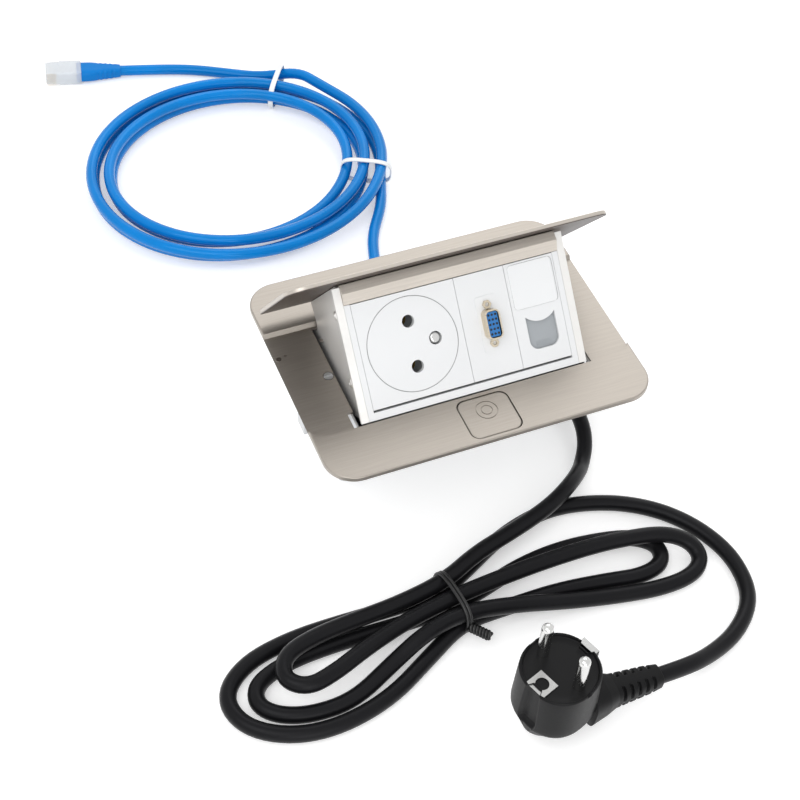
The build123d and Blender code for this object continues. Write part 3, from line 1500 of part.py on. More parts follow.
with BuildPart() as data_plug_contacts:
    with BuildSketch(contact_start):
        for shift in contact_shifts:
            with Locations((shift, plug_nose_height / 2 - contact_depth / 2)):
                Rectangle(contact_width, contact_depth)
    extrude(amount=contact_length)
data_plug_contacts.part.label = "data_plug_contacts"
export_step(data_plug_contacts.part, "parts/data_plug_contacts.step")
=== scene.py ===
"""Looks for a pop-up desk socket: nickel flange and lid, wiring modules, mains cord with plug, data cord."""

from math import cos, radians, sin

import bmesh
import bpy
import numpy as np
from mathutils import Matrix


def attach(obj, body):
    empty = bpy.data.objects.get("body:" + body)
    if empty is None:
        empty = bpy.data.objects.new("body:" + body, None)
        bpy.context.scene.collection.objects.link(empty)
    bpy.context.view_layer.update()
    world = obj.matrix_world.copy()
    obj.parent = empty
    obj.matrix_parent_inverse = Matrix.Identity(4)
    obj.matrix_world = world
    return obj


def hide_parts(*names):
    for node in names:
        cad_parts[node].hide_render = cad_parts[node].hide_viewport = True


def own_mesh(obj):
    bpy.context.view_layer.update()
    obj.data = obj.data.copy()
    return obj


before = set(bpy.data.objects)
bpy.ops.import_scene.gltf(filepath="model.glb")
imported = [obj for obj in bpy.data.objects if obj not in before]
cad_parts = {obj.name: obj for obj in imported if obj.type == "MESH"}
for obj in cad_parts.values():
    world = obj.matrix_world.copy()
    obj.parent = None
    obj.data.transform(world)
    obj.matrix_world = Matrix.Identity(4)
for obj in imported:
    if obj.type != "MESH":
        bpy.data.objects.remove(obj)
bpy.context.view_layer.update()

bl_info = {
    "name": "Pop-up desk socket",
    "version": (1, 0, 0),
    "blender": (4, 5, 0),
    "location": "3D View > Sidebar > Desk socket",
    "description": "Finishes and soft pieces for a pop-up desk socket",
    "category": "Object",
}

MM = 0.001

# Control points of the mains cord: lead, tied hank and tail, in metres.
MAINS_ROUTE = (
    (0.06, -0.014, 0.01),
    (0.06, -0.023, 0.01),
    (0.0575, -0.034, 0.0065),
    (0.051, -0.0435, 0.004),
    (0.0445, -0.0505, 0.0085),
    (0.0365, -0.057, 0.0113),
    (0.026, -0.0628, 0.0114),
    (0.014, -0.067, 0.0112),
    (0, -0.071, 0.0112),
    (-0.0155, -0.0752, 0.0113),
    (-0.0337, -0.084, 0.0123),
    (-0.055, -0.087, 0.0113),
    (-0.074, -0.0878, 0.011),
    (-0.093, -0.0893, 0.011),
    (-0.107, -0.0935, 0.011),
    (-0.111, -0.1035, 0.011),
    (-0.103, -0.1105, 0.011),
    (-0.09, -0.1075, 0.011),
    (-0.075, -0.1015, 0.011),
    (-0.056, -0.0958, 0.0113),
    (-0.033, -0.0923, 0.0123),
    (-0.01, -0.09, 0.0118),
    (0.012, -0.0882, 0.0104),
    (0.034, -0.0885, 0.0108),
    (0.05, -0.0905, 0.0113),
    (0.064, -0.0932, 0.0112),
    (0.075, -0.098, 0.007),
    (0.0775, -0.106, 0.0038),
    (0.07, -0.1126, 0.0035),
    (0.054, -0.1138, 0.0035),
    (0.034, -0.1106, 0.0036),
    (0.012, -0.107, 0.006),
    (-0.01, -0.1038, 0.011),
    (-0.0322, -0.1004, 0.0123),
    (-0.05, -0.1036, 0.0115),
    (-0.066, -0.109, 0.0064),
    (-0.086, -0.118, 0.0035),
    (-0.104, -0.1183, 0.0035),
    (-0.1165, -0.114, 0.0035),
    (-0.123, -0.1068, 0.0035),
    (-0.121, -0.0988, 0.0035),
    (-0.112, -0.0942, 0.0035),
    (-0.099, -0.0917, 0.0035),
    (-0.079, -0.0912, 0.0035),
    (-0.055, -0.092, 0.0036),
    (-0.033, -0.0925, 0.0047),
    (-0.015, -0.0875, 0.0036),
    (0.002, -0.0825, 0.0035),
    (0.022, -0.0806, 0.0035),
    (0.041, -0.0826, 0.0035),
    (0.055, -0.0862, 0.0035),
    (0.063, -0.0935, 0.0035),
    (0.0605, -0.1026, 0.0035),
    (0.049, -0.1054, 0.0035),
    (0.034, -0.1025, 0.0035),
    (0.012, -0.0995, 0.0035),
    (-0.01, -0.0996, 0.0036),
    (-0.0322, -0.1004, 0.0047),
    (-0.052, -0.111, 0.0036),
    (-0.072, -0.122, 0.0035),
    (-0.095, -0.127, 0.0035),
    (-0.115, -0.1245, 0.0035),
    (-0.131, -0.114, 0.0035),
    (-0.1345, -0.0985, 0.0035),
    (-0.1215, -0.087, 0.0035),
    (-0.101, -0.0828, 0.0035),
    (-0.079, -0.0826, 0.0035),
    (-0.056, -0.0836, 0.0036),
    (-0.0337, -0.084, 0.0047),
    (-0.0178, -0.0756, 0.0036),
    (-0.002, -0.0672, 0.0035),
    (0.0145, -0.0618, 0.0035),
    (0.03, -0.06, 0.0035),
    (0.0465, -0.0632, 0.0035),
    (0.0615, -0.0695, 0.0035),
    (0.0748, -0.0796, 0.0035),
    (0.0845, -0.093, 0.0035),
    (0.09, -0.1087, 0.0035),
    (0.089, -0.1248, 0.0035),
    (0.0833, -0.1356, 0.0035),
    (0.0715, -0.1448, 0.0036),
    (0.057, -0.1505, 0.0055),
    (0.042, -0.1546, 0.0105),
    (0.025, -0.1549, 0.012),
)
MAINS_DIAMETER = 0.007

# Wire tie round the hank: its middle, the lowest its wire goes, and the twisted end.
TIE_CENTRE = np.array((-0.033, -0.0923, 0.0086))
TIE_FLOOR = -0.0077
TIE_END = np.array((-0.0315, -0.1055, 0.0085))
TIE_HEADING = np.array((0.62, -0.62, -0.12))
TIE_TAIL = 0.0105
TIE_TWISTS = 3.5

# Plug: the share of its radius that the side grooves take, and the height in millimetres above which its rim
# is notched.
GROOVE_DEPTH = 0.16
NOTCH_FROM = 39.3

# Strain relief: where its first slots lie along it, their spacing, and the share of the section they take.
SLOT_FIRST = 0.001
SLOT_PITCH = 0.0036
SLOT_DEPTH = 0.27

# Data cord: the lead, then an oval coil given by its formula, then the tail.
DATA_LEAD = (
    (0.003, 0.0564, 0.009),
    (0.003, 0.066, 0.009),
    (0.0042, 0.079, 0.006),
    (0.008, 0.092, 0.0029),
    (0.0125, 0.1095, 0.0028),
    (0.018, 0.126, 0.0029),
)
DATA_TAIL = (
    (0.006, 0.2605, 0.004),
    (-0.01, 0.271, 0.0028),
    (-0.025, 0.2793, 0.0028),
    (-0.042, 0.2858, 0.0028),
    (-0.0647, 0.291, 0.0036),
)
DATA_DIAMETER = 0.0056
COIL_CENTRE = (-0.032, 0.1935)
COIL_HALF = (0.078, 0.071)
COIL_STEP = (0.009, 0.010)
COIL_LOW = 0.004
COIL_CLIMB = 0.0061
COIL_TURNS = 4.19
COIL_START = radians(-30.6)
COIL_POINTS = 72
COIL_RUN = 0.015

# Straps: turns from the coil's start, half-width, and how far in from the outer strand their middle lies.
STRAPS = ((0.0155, 0.0129, 0.0088), (0.2375, 0.0138, 0.0056))
STRAP_HEIGHT = 0.0071

# Boot of the data cord as lengths along it, half-widths and half-thicknesses, and the clear plug likewise.
BOOT_TABLE = ((0, 0.004, 0.016, 0.0235), (0.0029, 0.0036, 0.0054, 0.0056), (0.0029, 0.0033, 0.0037, 0.0037))
CLEAR_TABLE = (
    (0.021, 0.0212, 0.0219, 0.0222, 0.0325, 0.0328, 0.0396, 0.0399, 0.04),
    (0.0053, 0.0056, 0.0058, 0.00585, 0.00585, 0.0057, 0.0057, 0.0055, 0.0052),
    (0.0037, 0.0040, 0.0041, 0.0041, 0.0041, 0.0039, 0.0035, 0.0033, 0.003),
)

# The socket face: its origin, and the lean of its upward direction from the vertical.
FACE_ORIGIN = np.array((0.0, -0.02861, 0.064))
LEAN = radians(41.2)
FACE_X = np.array((1.0, 0.0, 0.0))
FACE_UP = np.array((0.0, sin(LEAN), cos(LEAN)))
FACE_OUT = np.array((0.0, -cos(LEAN), sin(LEAN)))

# The lid at rest: a point on the hinge axis, the upward direction of the lid's faces, and the heights over
# that point between which the lining's colour gives way to nickel.
HINGE = (0.0, 0.0384, 0.0534)
LID_UP = (0.0, sin(radians(52.6)), cos(radians(52.6)))
LID_LOW = 0.0057
LID_HIGH = 0.0063

PLUG_CENTRE = np.array((-0.017, -0.152, 0.0))
PLUG_TURN = radians(20)
SEAT_Z = 0.059

# Video port: middle of its contacts on the face, their spacing, and one dark disc of painted shade for a
# contact hole, as radius and height.
CONTACT_MIDDLE = (0.0119, 0.0223, 0.00423)
CONTACT_PITCH = (0.0015, 0.002)
CONTACT_HOLE_SHADE = ((0.0, 0.0), (0.0005, 0.0), (0.0005, 0.00004), (0.0, 0.00004))

# Gap round the outlet's disc, and seam round the label window; both are drawn in darkened module white as
# painted shade.
DISC_MIDDLE = (-0.0225, 0.0225, 0.0)
DISC_GAP = (
    (0.01952, -0.0009),
    (0.01983, -0.0009),
    (0.01983, -0.0003),
    (0.01952, -0.0003),
    (0.01952, -0.0009),
)
WINDOW_MIDDLE = (0.0343, 0.034)
WINDOW_HALF = (0.00985, 0.0094)
SEAM_HEIGHT = 0.00004
SEAM_HALF = (0.00016, 0.00008)

# A screw head as radius and height shares of its own radius, and where such heads sit.
HEAD_DOME = (
    (0.0, 0.0),
    (1.0, 0.0),
    (1.0, 0.18),
    (0.86, 0.34),
    (0.45, 0.46),
    (0.36, 0.46),
    (0.3, 0.2),
    (0.0, 0.2),
)
LEDGE_FLATNESS = 0.06
LEDGE_SINK = 0.00001
LEDGE_HEADS = ((-0.0704, 0.0151, 0.0013), (-0.0671, 0.0162, 0.0007), (-0.0498, 0.0194, 0.0009))
RIVET_PLACES = ((0.0405, -0.008), (0.012, -0.0085))
RIVET_RADIUS = 0.0021
SIDE_X = 0.049
ROD_PLACE = (0.0488, -0.0262, 0.0588)
ROD_END = ((0.0, 0.0), (0.0016, 0.0), (0.0016, 0.0022), (0.0012, 0.0026), (0.0, 0.0026))

BRASS = (0.7, 0.5, 0.2, 1.0)
WHITE = (1.0, 1.0, 1.0, 1.0)

# Studio: floor, lamps as name, place, size and watts, and the camera as fitted to the reference view.
FLOOR_GREY = (0.82, 0.82, 0.82)
FLOOR_GLOW = 0.38
LAMP_TARGET = (0.0, 0.0, 0.03)
LAMPS = (
    ("key_lamp", (-0.7, -0.5, 1.2), 0.9, 6.0),
    ("rear_lamp", (0.5, 0.9, 1.1), 0.8, 3.5),
    ("front_lamp", (-0.25, -1.2, 0.5), 0.7, 3.5),
)
CAMERA_LENS = 72.9222
CAMERA_PLACE = (-0.21793, -0.415331, 0.567311)
CAMERA_TURN = (40.46344, -2.74832, -22.27388)


def on_face(u, v, w):
    """Face coordinates in metres to the frame: u to the right, v up the face, w out of it."""
    across = FACE_ORIGIN + np.multiply.outer(u, FACE_X)
    return across + np.multiply.outer(v, FACE_UP) + np.multiply.outer(w, FACE_OUT)


def ease(low, high, x):
    """Smooth step: 0 below low, 1 above high, 3t^2 - 2t^3 between."""
    t = np.clip((x - low) / (high - low), 0, 1)
    return t * t * (3 - 2 * t)


def rounded(angle, half_a, half_b, power):
    """Superellipse: a cos^(2/p), b sin^(2/p), signs kept, so p = 2 is an ellipse and larger p is boxier."""
    c = np.cos(angle)
    s = np.sin(angle)
    return half_a * np.sign(c) * np.abs(c) ** (2 / power), half_b * np.sign(s) * np.abs(s) ** (2 / power)


def coil_route():
    """An oval whose half-axes shrink going in on the lower layer and grow again on the upper one."""
    turns = np.linspace(0, COIL_TURNS, COIL_POINTS + 1)
    inward = np.minimum(turns, 4 - turns)
    angle = COIL_START + 2 * np.pi * turns
    climb = ease(0, 1, 2 * (turns - 2) + 0.5)
    x = COIL_CENTRE[0] + (COIL_HALF[0] - COIL_STEP[0] * inward) * np.cos(angle)
    y = COIL_CENTRE[1] + (COIL_HALF[1] - COIL_STEP[1] * inward) * np.sin(angle)
    return np.stack((x, y, COIL_LOW + COIL_CLIMB * climb), axis=1)


def grid_piece(name, grid, wrap_rows=False, wrap_columns=True):
    """A mesh over a grid of points; wrapped ways close on themselves, and rows that collapse become poles."""
    rows, columns = grid.shape[:2]
    index = np.arange(rows * columns).reshape(rows, columns)
    if wrap_rows:
        index = np.vstack((index, index[:1]))
    if wrap_columns:
        index = np.hstack((index, index[:, :1]))
    quads = np.stack((index[:-1, :-1], index[:-1, 1:], index[1:, 1:], index[1:, :-1]), axis=-1).reshape(-1, 4)
    mesh = bpy.data.meshes.new(name)
    mesh.from_pydata(grid.reshape(-1, 3), [], quads.tolist())
    shape = bmesh.new()
    shape.from_mesh(mesh)
    bmesh.ops.remove_doubles(shape, verts=shape.verts, dist=2e-6)
    bmesh.ops.recalc_face_normals(shape, faces=shape.faces)
    shape.to_mesh(mesh)
    shape.free()
    mesh.shade_smooth()
    piece = bpy.data.objects.new(name, mesh)
    bpy.context.scene.collection.objects.link(piece)
    return piece


def join_pieces(name, pieces):
    """One object from several: their meshes are poured into the first, which takes the name."""
    shape = bmesh.new()
    for piece in pieces:
        shape.from_mesh(piece.data)
        mesh = piece.data
        bpy.data.objects.remove(piece)
        bpy.data.meshes.remove(mesh)
    mesh = bpy.data.meshes.new(name)
    shape.to_mesh(mesh)
    shape.free()
    mesh.shade_smooth()
    whole = bpy.data.objects.new(name, mesh)
    bpy.context.scene.collection.objects.link(whole)
    return whole


def turned(name, centre, axis, profile, columns=48):
    """A profile of (radius, height) pairs turned round an axis through centre; a zero radius closes it."""
    axis = np.array(axis, float) / np.linalg.norm(axis)
    side = np.cross(axis, (1.0, 0.0, 0.0) if abs(axis[0]) < 0.9 else (0.0, 1.0, 0.0))
    side /= np.linalg.norm(side)
    other = np.cross(axis, side)
    angle = np.linspace(0, 2 * np.pi, columns, endpoint=False)
    ring = np.cos(angle)[:, None] * side + np.sin(angle)[:, None] * other
    radius, height = np.array(profile, float).T
    grid = np.array(centre) + radius[:, None, None] * ring[None] + height[:, None, None] * axis
    return grid_piece(name, grid)


def along(name, line, half_wide, half_thick, power=2.0, columns=12, closed=False, up=(0.0, 0.0, 1.0)):
    """A superellipse section carried along a line, its width square to the line and to the up direction."""
    line = np.asarray(line, float)
    ahead = np.gradient(line, axis=0)
    if closed:
        ahead = np.roll(line, -1, axis=0) - np.roll(line, 1, axis=0)
    ahead /= np.linalg.norm(ahead, axis=1)[:, None]
    wide = np.cross(ahead, np.broadcast_to(up, ahead.shape))
    wide /= np.linalg.norm(wide, axis=1)[:, None]
    thick = np.cross(wide, ahead)
    angle = np.linspace(0, 2 * np.pi, columns, endpoint=False)
    a, b = rounded(angle, 1.0, 1.0, power)
    half_wide = np.broadcast_to(half_wide, len(line))
    half_thick = np.broadcast_to(half_thick, len(line))
    across = (half_wide[:, None] * a)[..., None] * wide[:, None]
    upright = (half_thick[:, None] * b)[..., None] * thick[:, None]
    grid = line[:, None] + across + upright
    if not closed:
        first = np.repeat(line[:1, None], columns, axis=1)
        last = np.repeat(line[-1:, None], columns, axis=1)
        grid = np.concatenate((first, grid, last))
    return grid_piece(name, grid, wrap_rows=closed)


def smooth_cord(name, route, diameter, resolution=6):
    """A round tube on one open NURBS spline through nothing but the route's control points."""
    curve = bpy.data.curves.new(name, "CURVE")
    curve.dimensions = "3D"
    spline = curve.splines.new("NURBS")
    spline.points.add(len(route) - 1)
    homogeneous = np.column_stack((np.asarray(route, float), np.ones(len(route))))
    spline.points.foreach_set("co", homogeneous.ravel())
    spline.order_u = 3
    spline.use_endpoint_u = True
    spline.resolution_u = resolution
    curve.resolution_u = resolution
    curve.bevel_depth = diameter / 2
    curve.bevel_resolution = 5
    curve.use_fill_caps = True
    piece = bpy.data.objects.new(name, curve)
    bpy.context.scene.collection.objects.link(piece)
    return piece


class Wire:
    """A node's output that takes part in arithmetic; each operator adds one Math node to its material."""

    def __init__(self, tree, socket=None):
        self.tree = tree
        self.socket = socket

    def node(self, kind, settings=None, inputs=None, out=0):
        """Adds any node: settings first, a ramp's stops among them, then values or links for its sockets."""
        made = self.tree.nodes.new(kind)
        for key, value in (settings or {}).items():
            if key == "stops":
                ramp = made.color_ramp
                for place, (position, colour) in enumerate(value):
                    stop = ramp.elements[place] if place < 2 else ramp.elements.new(position)
                    stop.position = position
                    stop.color = colour
            else:
                setattr(made, key, value)
        for key, value in (inputs or {}).items():
            if isinstance(value, Wire):
                self.tree.links.new(value.socket, made.inputs[key])
            else:
                made.inputs[key].default_value = value
        return Wire(self.tree, made.outputs[out]) if made.outputs else None

    def math(self, operation, first, second=0.0):
        return self.node("ShaderNodeMath", {"operation": operation}, {0: first, 1: second})

    def __add__(self, other):
        return self.math("ADD", self, other)

    __radd__ = __add__

    def __mul__(self, other):
        return self.math("MULTIPLY", self, other)

    __rmul__ = __mul__

    def between(self, low, high):
        """Remaps low..high to 0..1, clamped, with a smooth ramp."""
        return self.node(
            "ShaderNodeMapRange",
            {"interpolation_type": "SMOOTHSTEP"},
            {"Value": self, "From Min": low, "From Max": high},
        )

    def mix(self, first, second):
        """Colour mix with this value as the factor."""
        return self.node("ShaderNodeMix", {"data_type": "RGBA"}, {0: self, 6: first, 7: second}, out=2)

    def mapped(self, scale):
        """Object coordinates stretched by scale along each axis."""
        place = self.node("ShaderNodeTexCoord", out=3)
        return self.node("ShaderNodeMapping", None, {"Vector": place, "Scale": scale})

    def noise(self, scale, detail=3.0, stretch=None, rough=0.5):
        """Noise of a given scale on Object coordinates, stretched along the axes where stretch says so."""
        place = self.mapped(stretch) if stretch else self.node("ShaderNodeTexCoord", out=3)
        sockets = {"Vector": place, "Scale": scale, "Detail": detail, "Roughness": rough}
        return self.node("ShaderNodeTexNoise", None, sockets)

    def height_over(self, point, up):
        """Distance along a direction from a point, in Object coordinates."""
        place = self.node("ShaderNodeTexCoord", out=3)
        arm = self.node("ShaderNodeVectorMath", {"operation": "SUBTRACT"}, {0: place, 1: point})
        return self.node("ShaderNodeVectorMath", {"operation": "DOT_PRODUCT"}, {0: arm, 1: up}, out=1)

    def bump(self, strength, distance):
        return self.node("ShaderNodeBump", None, {"Height": self, "Strength": strength, "Distance": distance})

    def sees_background(self):
        """1 on rays from the camera, off a glossy surface or through a clear one, 0 on the rest."""
        rays = ("Is Camera Ray", "Is Glossy Ray", "Is Transmission Ray")
        camera, glossy, clear = (self.node("ShaderNodeLightPath", out=ray) for ray in rays)
        return self.math("MAXIMUM", self.math("MAXIMUM", camera, glossy), clear)


def finish(material, colour, rough, metal=0.0, normal=None, **fixed):
    """One Principled material: colour, rough and metal may be wires, the rest are set on its sockets."""
    tree = material.node_tree
    shader = tree.nodes.new("ShaderNodeBsdfPrincipled")
    end = tree.nodes.new("ShaderNodeOutputMaterial")
    tree.links.new(shader.outputs[0], end.inputs[0])
    varied = {"Base Color": colour, "Roughness": rough, "Metallic": metal, "Normal": normal}
    for key, value in {**varied, **{key.replace("_", " "): number for key, number in fixed.items()}}.items():
        if value is None:
            continue
        if isinstance(value, Wire):
            tree.links.new(value.socket, shader.inputs[key])
        else:
            shader.inputs[key].default_value = value
    return material


def start(name):
    """A new material and the wire that adds nodes to it, or no wire where the material is already there."""
    made = name + "_finish"
    if made in bpy.data.materials:
        return bpy.data.materials[made], None
    material = bpy.data.materials.new(made)
    material.use_nodes = True
    material.node_tree.nodes.clear()
    return material, Wire(material.node_tree)


def shade(colour, factor):
    return (*(min(1.0, channel * factor) for channel in colour[:3]), 1.0)


def nickel(name, colour, rough=0.36, metal=0.8, streak=(14.0, 420.0, 420.0), lining=None):
    """Satin nickel: fine streaks along X and a faint cloud; a lining colour covers the lid's underside."""
    material, wire = start(name)
    if wire is None:
        return material
    streaks = wire.noise(3.0, 2.0, streak, 0.6)
    cloud = wire.noise(9.0, 2.0)
    grain = wire.noise(2600.0, 2.0)
    level = (streaks * 0.6 + cloud * 0.25 + grain * 0.15).between(0.32, 0.68)
    tone = level.mix(shade(colour, 0.93), shade(colour, 1.06))
    if lining:
        top = wire.height_over(HINGE, LID_UP).between(LID_LOW, LID_HIGH)
        tone = top.mix(lining, tone)
        metal = top * metal
    return finish(
        material,
        tone,
        streaks * 0.12 + grain * 0.1 + (rough - 0.11),
        metal,
        (streaks * 0.5 + grain * 0.5).bump(0.12, 0.00006),
    )


def plain_metal(name, colour, rough=0.3, metal=1.0):
    """Plated or drawn metal: soft clouds in the roughness and a fine grain."""
    material, wire = start(name)
    if wire is None:
        return material
    cloud = wire.noise(60.0, 3.0)
    grain = wire.noise(1800.0, 2.0)
    return finish(
        material,
        cloud.mix(shade(colour, 0.92), shade(colour, 1.05)),
        cloud * 0.12 + grain * 0.08 + (rough - 0.1),
        metal,
        grain.bump(0.1, 0.00004),
    )


def moulded(name, colour, rough=0.35, grain_size=1500.0, depth=0.00003, **fixed):
    """Moulded plastic: a fine spark-eroded grain, soft flow clouds, a trace of handling in the roughness."""
    material, wire = start(name)
    if wire is None:
        return material
    grain = wire.noise(grain_size, 2.0)
    cloud = wire.noise(35.0, 3.0)
    return finish(
        material,
        cloud.mix(shade(colour, 0.965), shade(colour, 1.02)),
        grain * 0.1 + cloud * 0.1 + (rough - 0.1),
        0.0,
        grain.bump(0.18, depth),
        **fixed,
    )


def sheath(name, colour, rough, gloss, coat, depth=0.00012):
    """Cord sheath: extruded vinyl with a slow waviness from the cores, fine drag marks and dusty patches."""
    material, wire = start(name)
    if wire is None:
        return material
    wave = wire.noise(110.0, 2.0)
    fine = wire.noise(900.0, 3.0)
    patch = wire.noise(28.0, 3.0).between(0.35, 0.7)
    return finish(
        material,
        patch.mix(shade(colour, 0.93), shade(colour, 1.1)),
        wave * 0.1 + fine * 0.14 + (rough - 0.12),
        0.0,
        (wave * 0.75 + fine * 0.25).bump(0.35, depth),
        Specular_IOR_Level=0.3,
        Specular_Tint=gloss,
        Coat_Weight=coat,
        Coat_Roughness=0.12,
    )


def dress(node, material):
    """Puts a material on a CAD node's object in place of its own."""
    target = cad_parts[node]
    target.data.materials.clear()
    target.data.materials.append(material)


def give(piece, material, body):
    """Material and body for a new piece."""
    piece.data.materials.append(material)
    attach(piece, body)
    return piece


def pin_chrome(chosen):
    return plain_metal("pin_chrome", chosen.chrome_colour, 0.16)


def contact_brass():
    return plain_metal("contact_brass", BRASS, 0.3)


def housing_black(chosen):
    return moulded("housing_black", chosen.black_colour, 0.42, 1400.0, 0.00004)


def squeeze(node):
    """Gives a spring its own copy of its mesh; its vertex places are read, but nothing moves them."""
    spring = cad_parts[node]
    place = np.empty(3 * len(spring.data.vertices))
    spring.data.vertices.foreach_get("co", place)
    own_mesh(spring)


def colour_prop(name, description, default):
    return bpy.props.FloatVectorProperty(
        name=name, description=description, default=default, size=4, subtype="COLOR", min=0.0, max=1.0
    )


class DeskSocketSettings(bpy.types.PropertyGroup):
    """Colours and sizes that a user would change"""

    nickel_colour: colour_prop("Nickel", "Satin nickel of the flange and the button", (0.37, 0.337, 0.3, 1.0))
    lid_colour: colour_prop("Lid nickel", "Satin nickel of the lid and its lip", (0.52, 0.478, 0.428, 1.0))
    edge_colour: colour_prop("Sheet edge", "Bright edges of the side plates", (0.8, 0.79, 0.77, 1.0))
    white_colour: colour_prop("Module white", "Plates of the wiring modules", (0.74, 0.75, 0.76, 1.0))
    lining_colour: colour_prop("Lid lining", "Panel inside the lid", (0.045, 0.03, 0.024, 1.0))
    shutter_colour: colour_prop("Shutter", "Sliding shutter of the data port", (0.33, 0.35, 0.37, 1.0))
    insert_colour: colour_prop("Insert", "Insert of the video port", (0.015, 0.15, 0.42, 1.0))
    shell_colour: colour_prop("Shell", "Metal shell of the video port", (0.66, 0.58, 0.45, 1.0))
    black_colour: colour_prop("Black plastic", "Plug and hidden mouldings", (0.006, 0.006, 0.0065, 1.0))
    mains_colour: colour_prop("Mains sheath", "Sheath of the mains cord", (0.006, 0.006, 0.0068, 1.0))
    data_colour: colour_prop("Data sheath", "Sheath of the data cord", (0.001, 0.19, 0.58, 1.0))
    chrome_colour: colour_prop("Pins", "Plug pins, earth strips and earth pin", (0.66, 0.66, 0.65, 1.0))
    nickel_rough: bpy.props.FloatProperty(
        name="Nickel roughness",
        description="Roughness of the satin nickel",
        default=0.38,
        min=0.1,
        max=0.8,
        subtype="FACTOR",
    )
    tie_radius: bpy.props.FloatProperty(
        name="Tie radius",
        description="Radius of the wire tie's strand",
        default=0.0008,
        min=0.0003,
        max=0.002,
        unit="LENGTH",
    )


class SocketOperator:
    """What every operator here shares."""

    bl_options = {"REGISTER", "UNDO"}

    @staticmethod
    def settings(context):
        return context.scene.desk_socket


class DESKSOCKET_OT_flange(SocketOperator, bpy.types.Operator):
    """Finish the flange, the release button, the lid and the side plates"""

    bl_idname = "desksocket.flange"
    bl_label = "Flange and lid"

    def execute(self, context):
        chosen = self.settings(context)
        flange = nickel("satin_nickel", chosen.nickel_colour, chosen.nickel_rough)
        lid = nickel("lid_nickel", chosen.lid_colour, chosen.nickel_rough, lining=chosen.lining_colour[:])
        edge = plain_metal("sheet_edge", chosen.edge_colour, 0.42, 0.55)
        for node in ("flange_frame", "release_button"):
            dress(node, flange)
        dress("lid_plate", lid)
        # The lip takes the lid's nickel made 15% brighter: painted light that lifts it out of the shade under
        # the lid.
        dress("lip_profile", nickel("lip_nickel_painted_light", shade(chosen.lid_colour, 1.15), 0.42, 0.4))
        for node in ("side_plate_left", "side_plate_right"):
            dress(node, edge)
        dress("lid_panel", moulded("lid_lining", chosen.lining_colour, 0.4))
        return {"FINISHED"}


class DESKSOCKET_OT_modules(SocketOperator, bpy.types.Operator):
    """Finish the outlet, the video port and the data port"""

    bl_idname = "desksocket.modules"
    bl_label = "Wiring modules"

    def contact_hole_shades(self):
        """Fifteen thin dark discs on the insert's face, three across and five up: painted shade in the
        contact holes.
        """
        column, row = np.meshgrid(np.arange(-1, 2), np.arange(-2, 3))
        u, v, w = CONTACT_MIDDLE
        places = [
            on_face(u + CONTACT_PITCH[0] * i, v + CONTACT_PITCH[1] * j, w)
            for i, j in zip(column.ravel().tolist(), row.ravel().tolist())
        ]
        hole_shades = [turned("hole_shade", place, FACE_OUT, CONTACT_HOLE_SHADE, 12) for place in places]
        return join_pieces("contact_hole_shades", hole_shades)

    def window_seam(self):
        """A fine bead carried round a superellipse that is nearly a square, drawn in grey as painted shade of
        the window's edge.
        """
        angle = np.linspace(0, 2 * np.pi, 160, endpoint=False)
        u, v = rounded(angle, *WINDOW_HALF, 12.0)
        line = on_face(WINDOW_MIDDLE[0] + u, WINDOW_MIDDLE[1] + v, np.full_like(u, SEAM_HEIGHT))
        return along("window_seam", line, *SEAM_HALF, 2.0, 8, True, tuple(FACE_OUT))

    def execute(self, context):
        chosen = self.settings(context)
        pale = chosen.white_colour
        white = moulded("module_white", pale, 0.34, 1200.0, 0.00002, Coat_Weight=0.15, Coat_Roughness=0.2)
        names = "bottom_bar filler_strips outlet_plate socket_disc outlet_body video_plate data_plate"
        for node in names.split():
            dress(node, white)
        clear = moulded("window_clear", shade(pale, 1.04), 0.16, 600.0, 0.00001, Coat_Weight=0.8)
        dress("label_window", clear)
        dress("data_shutter", moulded("shutter_grey", chosen.shutter_colour, 0.42))
        dress("video_insert", moulded("insert_blue", chosen.insert_colour, 0.38))
        dress("video_shell", plain_metal("shell_metal", chosen.shell_colour, 0.28))
        dress("video_screws", plain_metal("screw_metal", shade(chosen.shell_colour, 0.95), 0.26))
        dress("earth_pin", pin_chrome(chosen))
        dress("outlet_contacts", contact_brass())
        black = housing_black(chosen)
        dress("data_jack", black)
        dress("rear_cover", black)
        # Near-black discs on the insert's face: painted shade in the contact holes.
        hole_shade = moulded("contact_hole_shade", (0.006, 0.006, 0.008, 1.0), 0.5)
        give(self.contact_hole_shades(), hole_shade, "carrier")
        # The ring in the disc's gap is module white at half brightness: painted shade of the gap.
        ring = turned("disc_gap", on_face(*DISC_MIDDLE), FACE_OUT, DISC_GAP, 128)
        give(ring, moulded("gap_painted_shade", shade(pale, 0.5), 0.5), "carrier")
        # The window's seam is module white darkened to 0.62: painted shade along the window's edge.
        give(self.window_seam(), moulded("seam_painted_shade", shade(pale, 0.62), 0.5), "carrier")
        return {"FINISHED"}


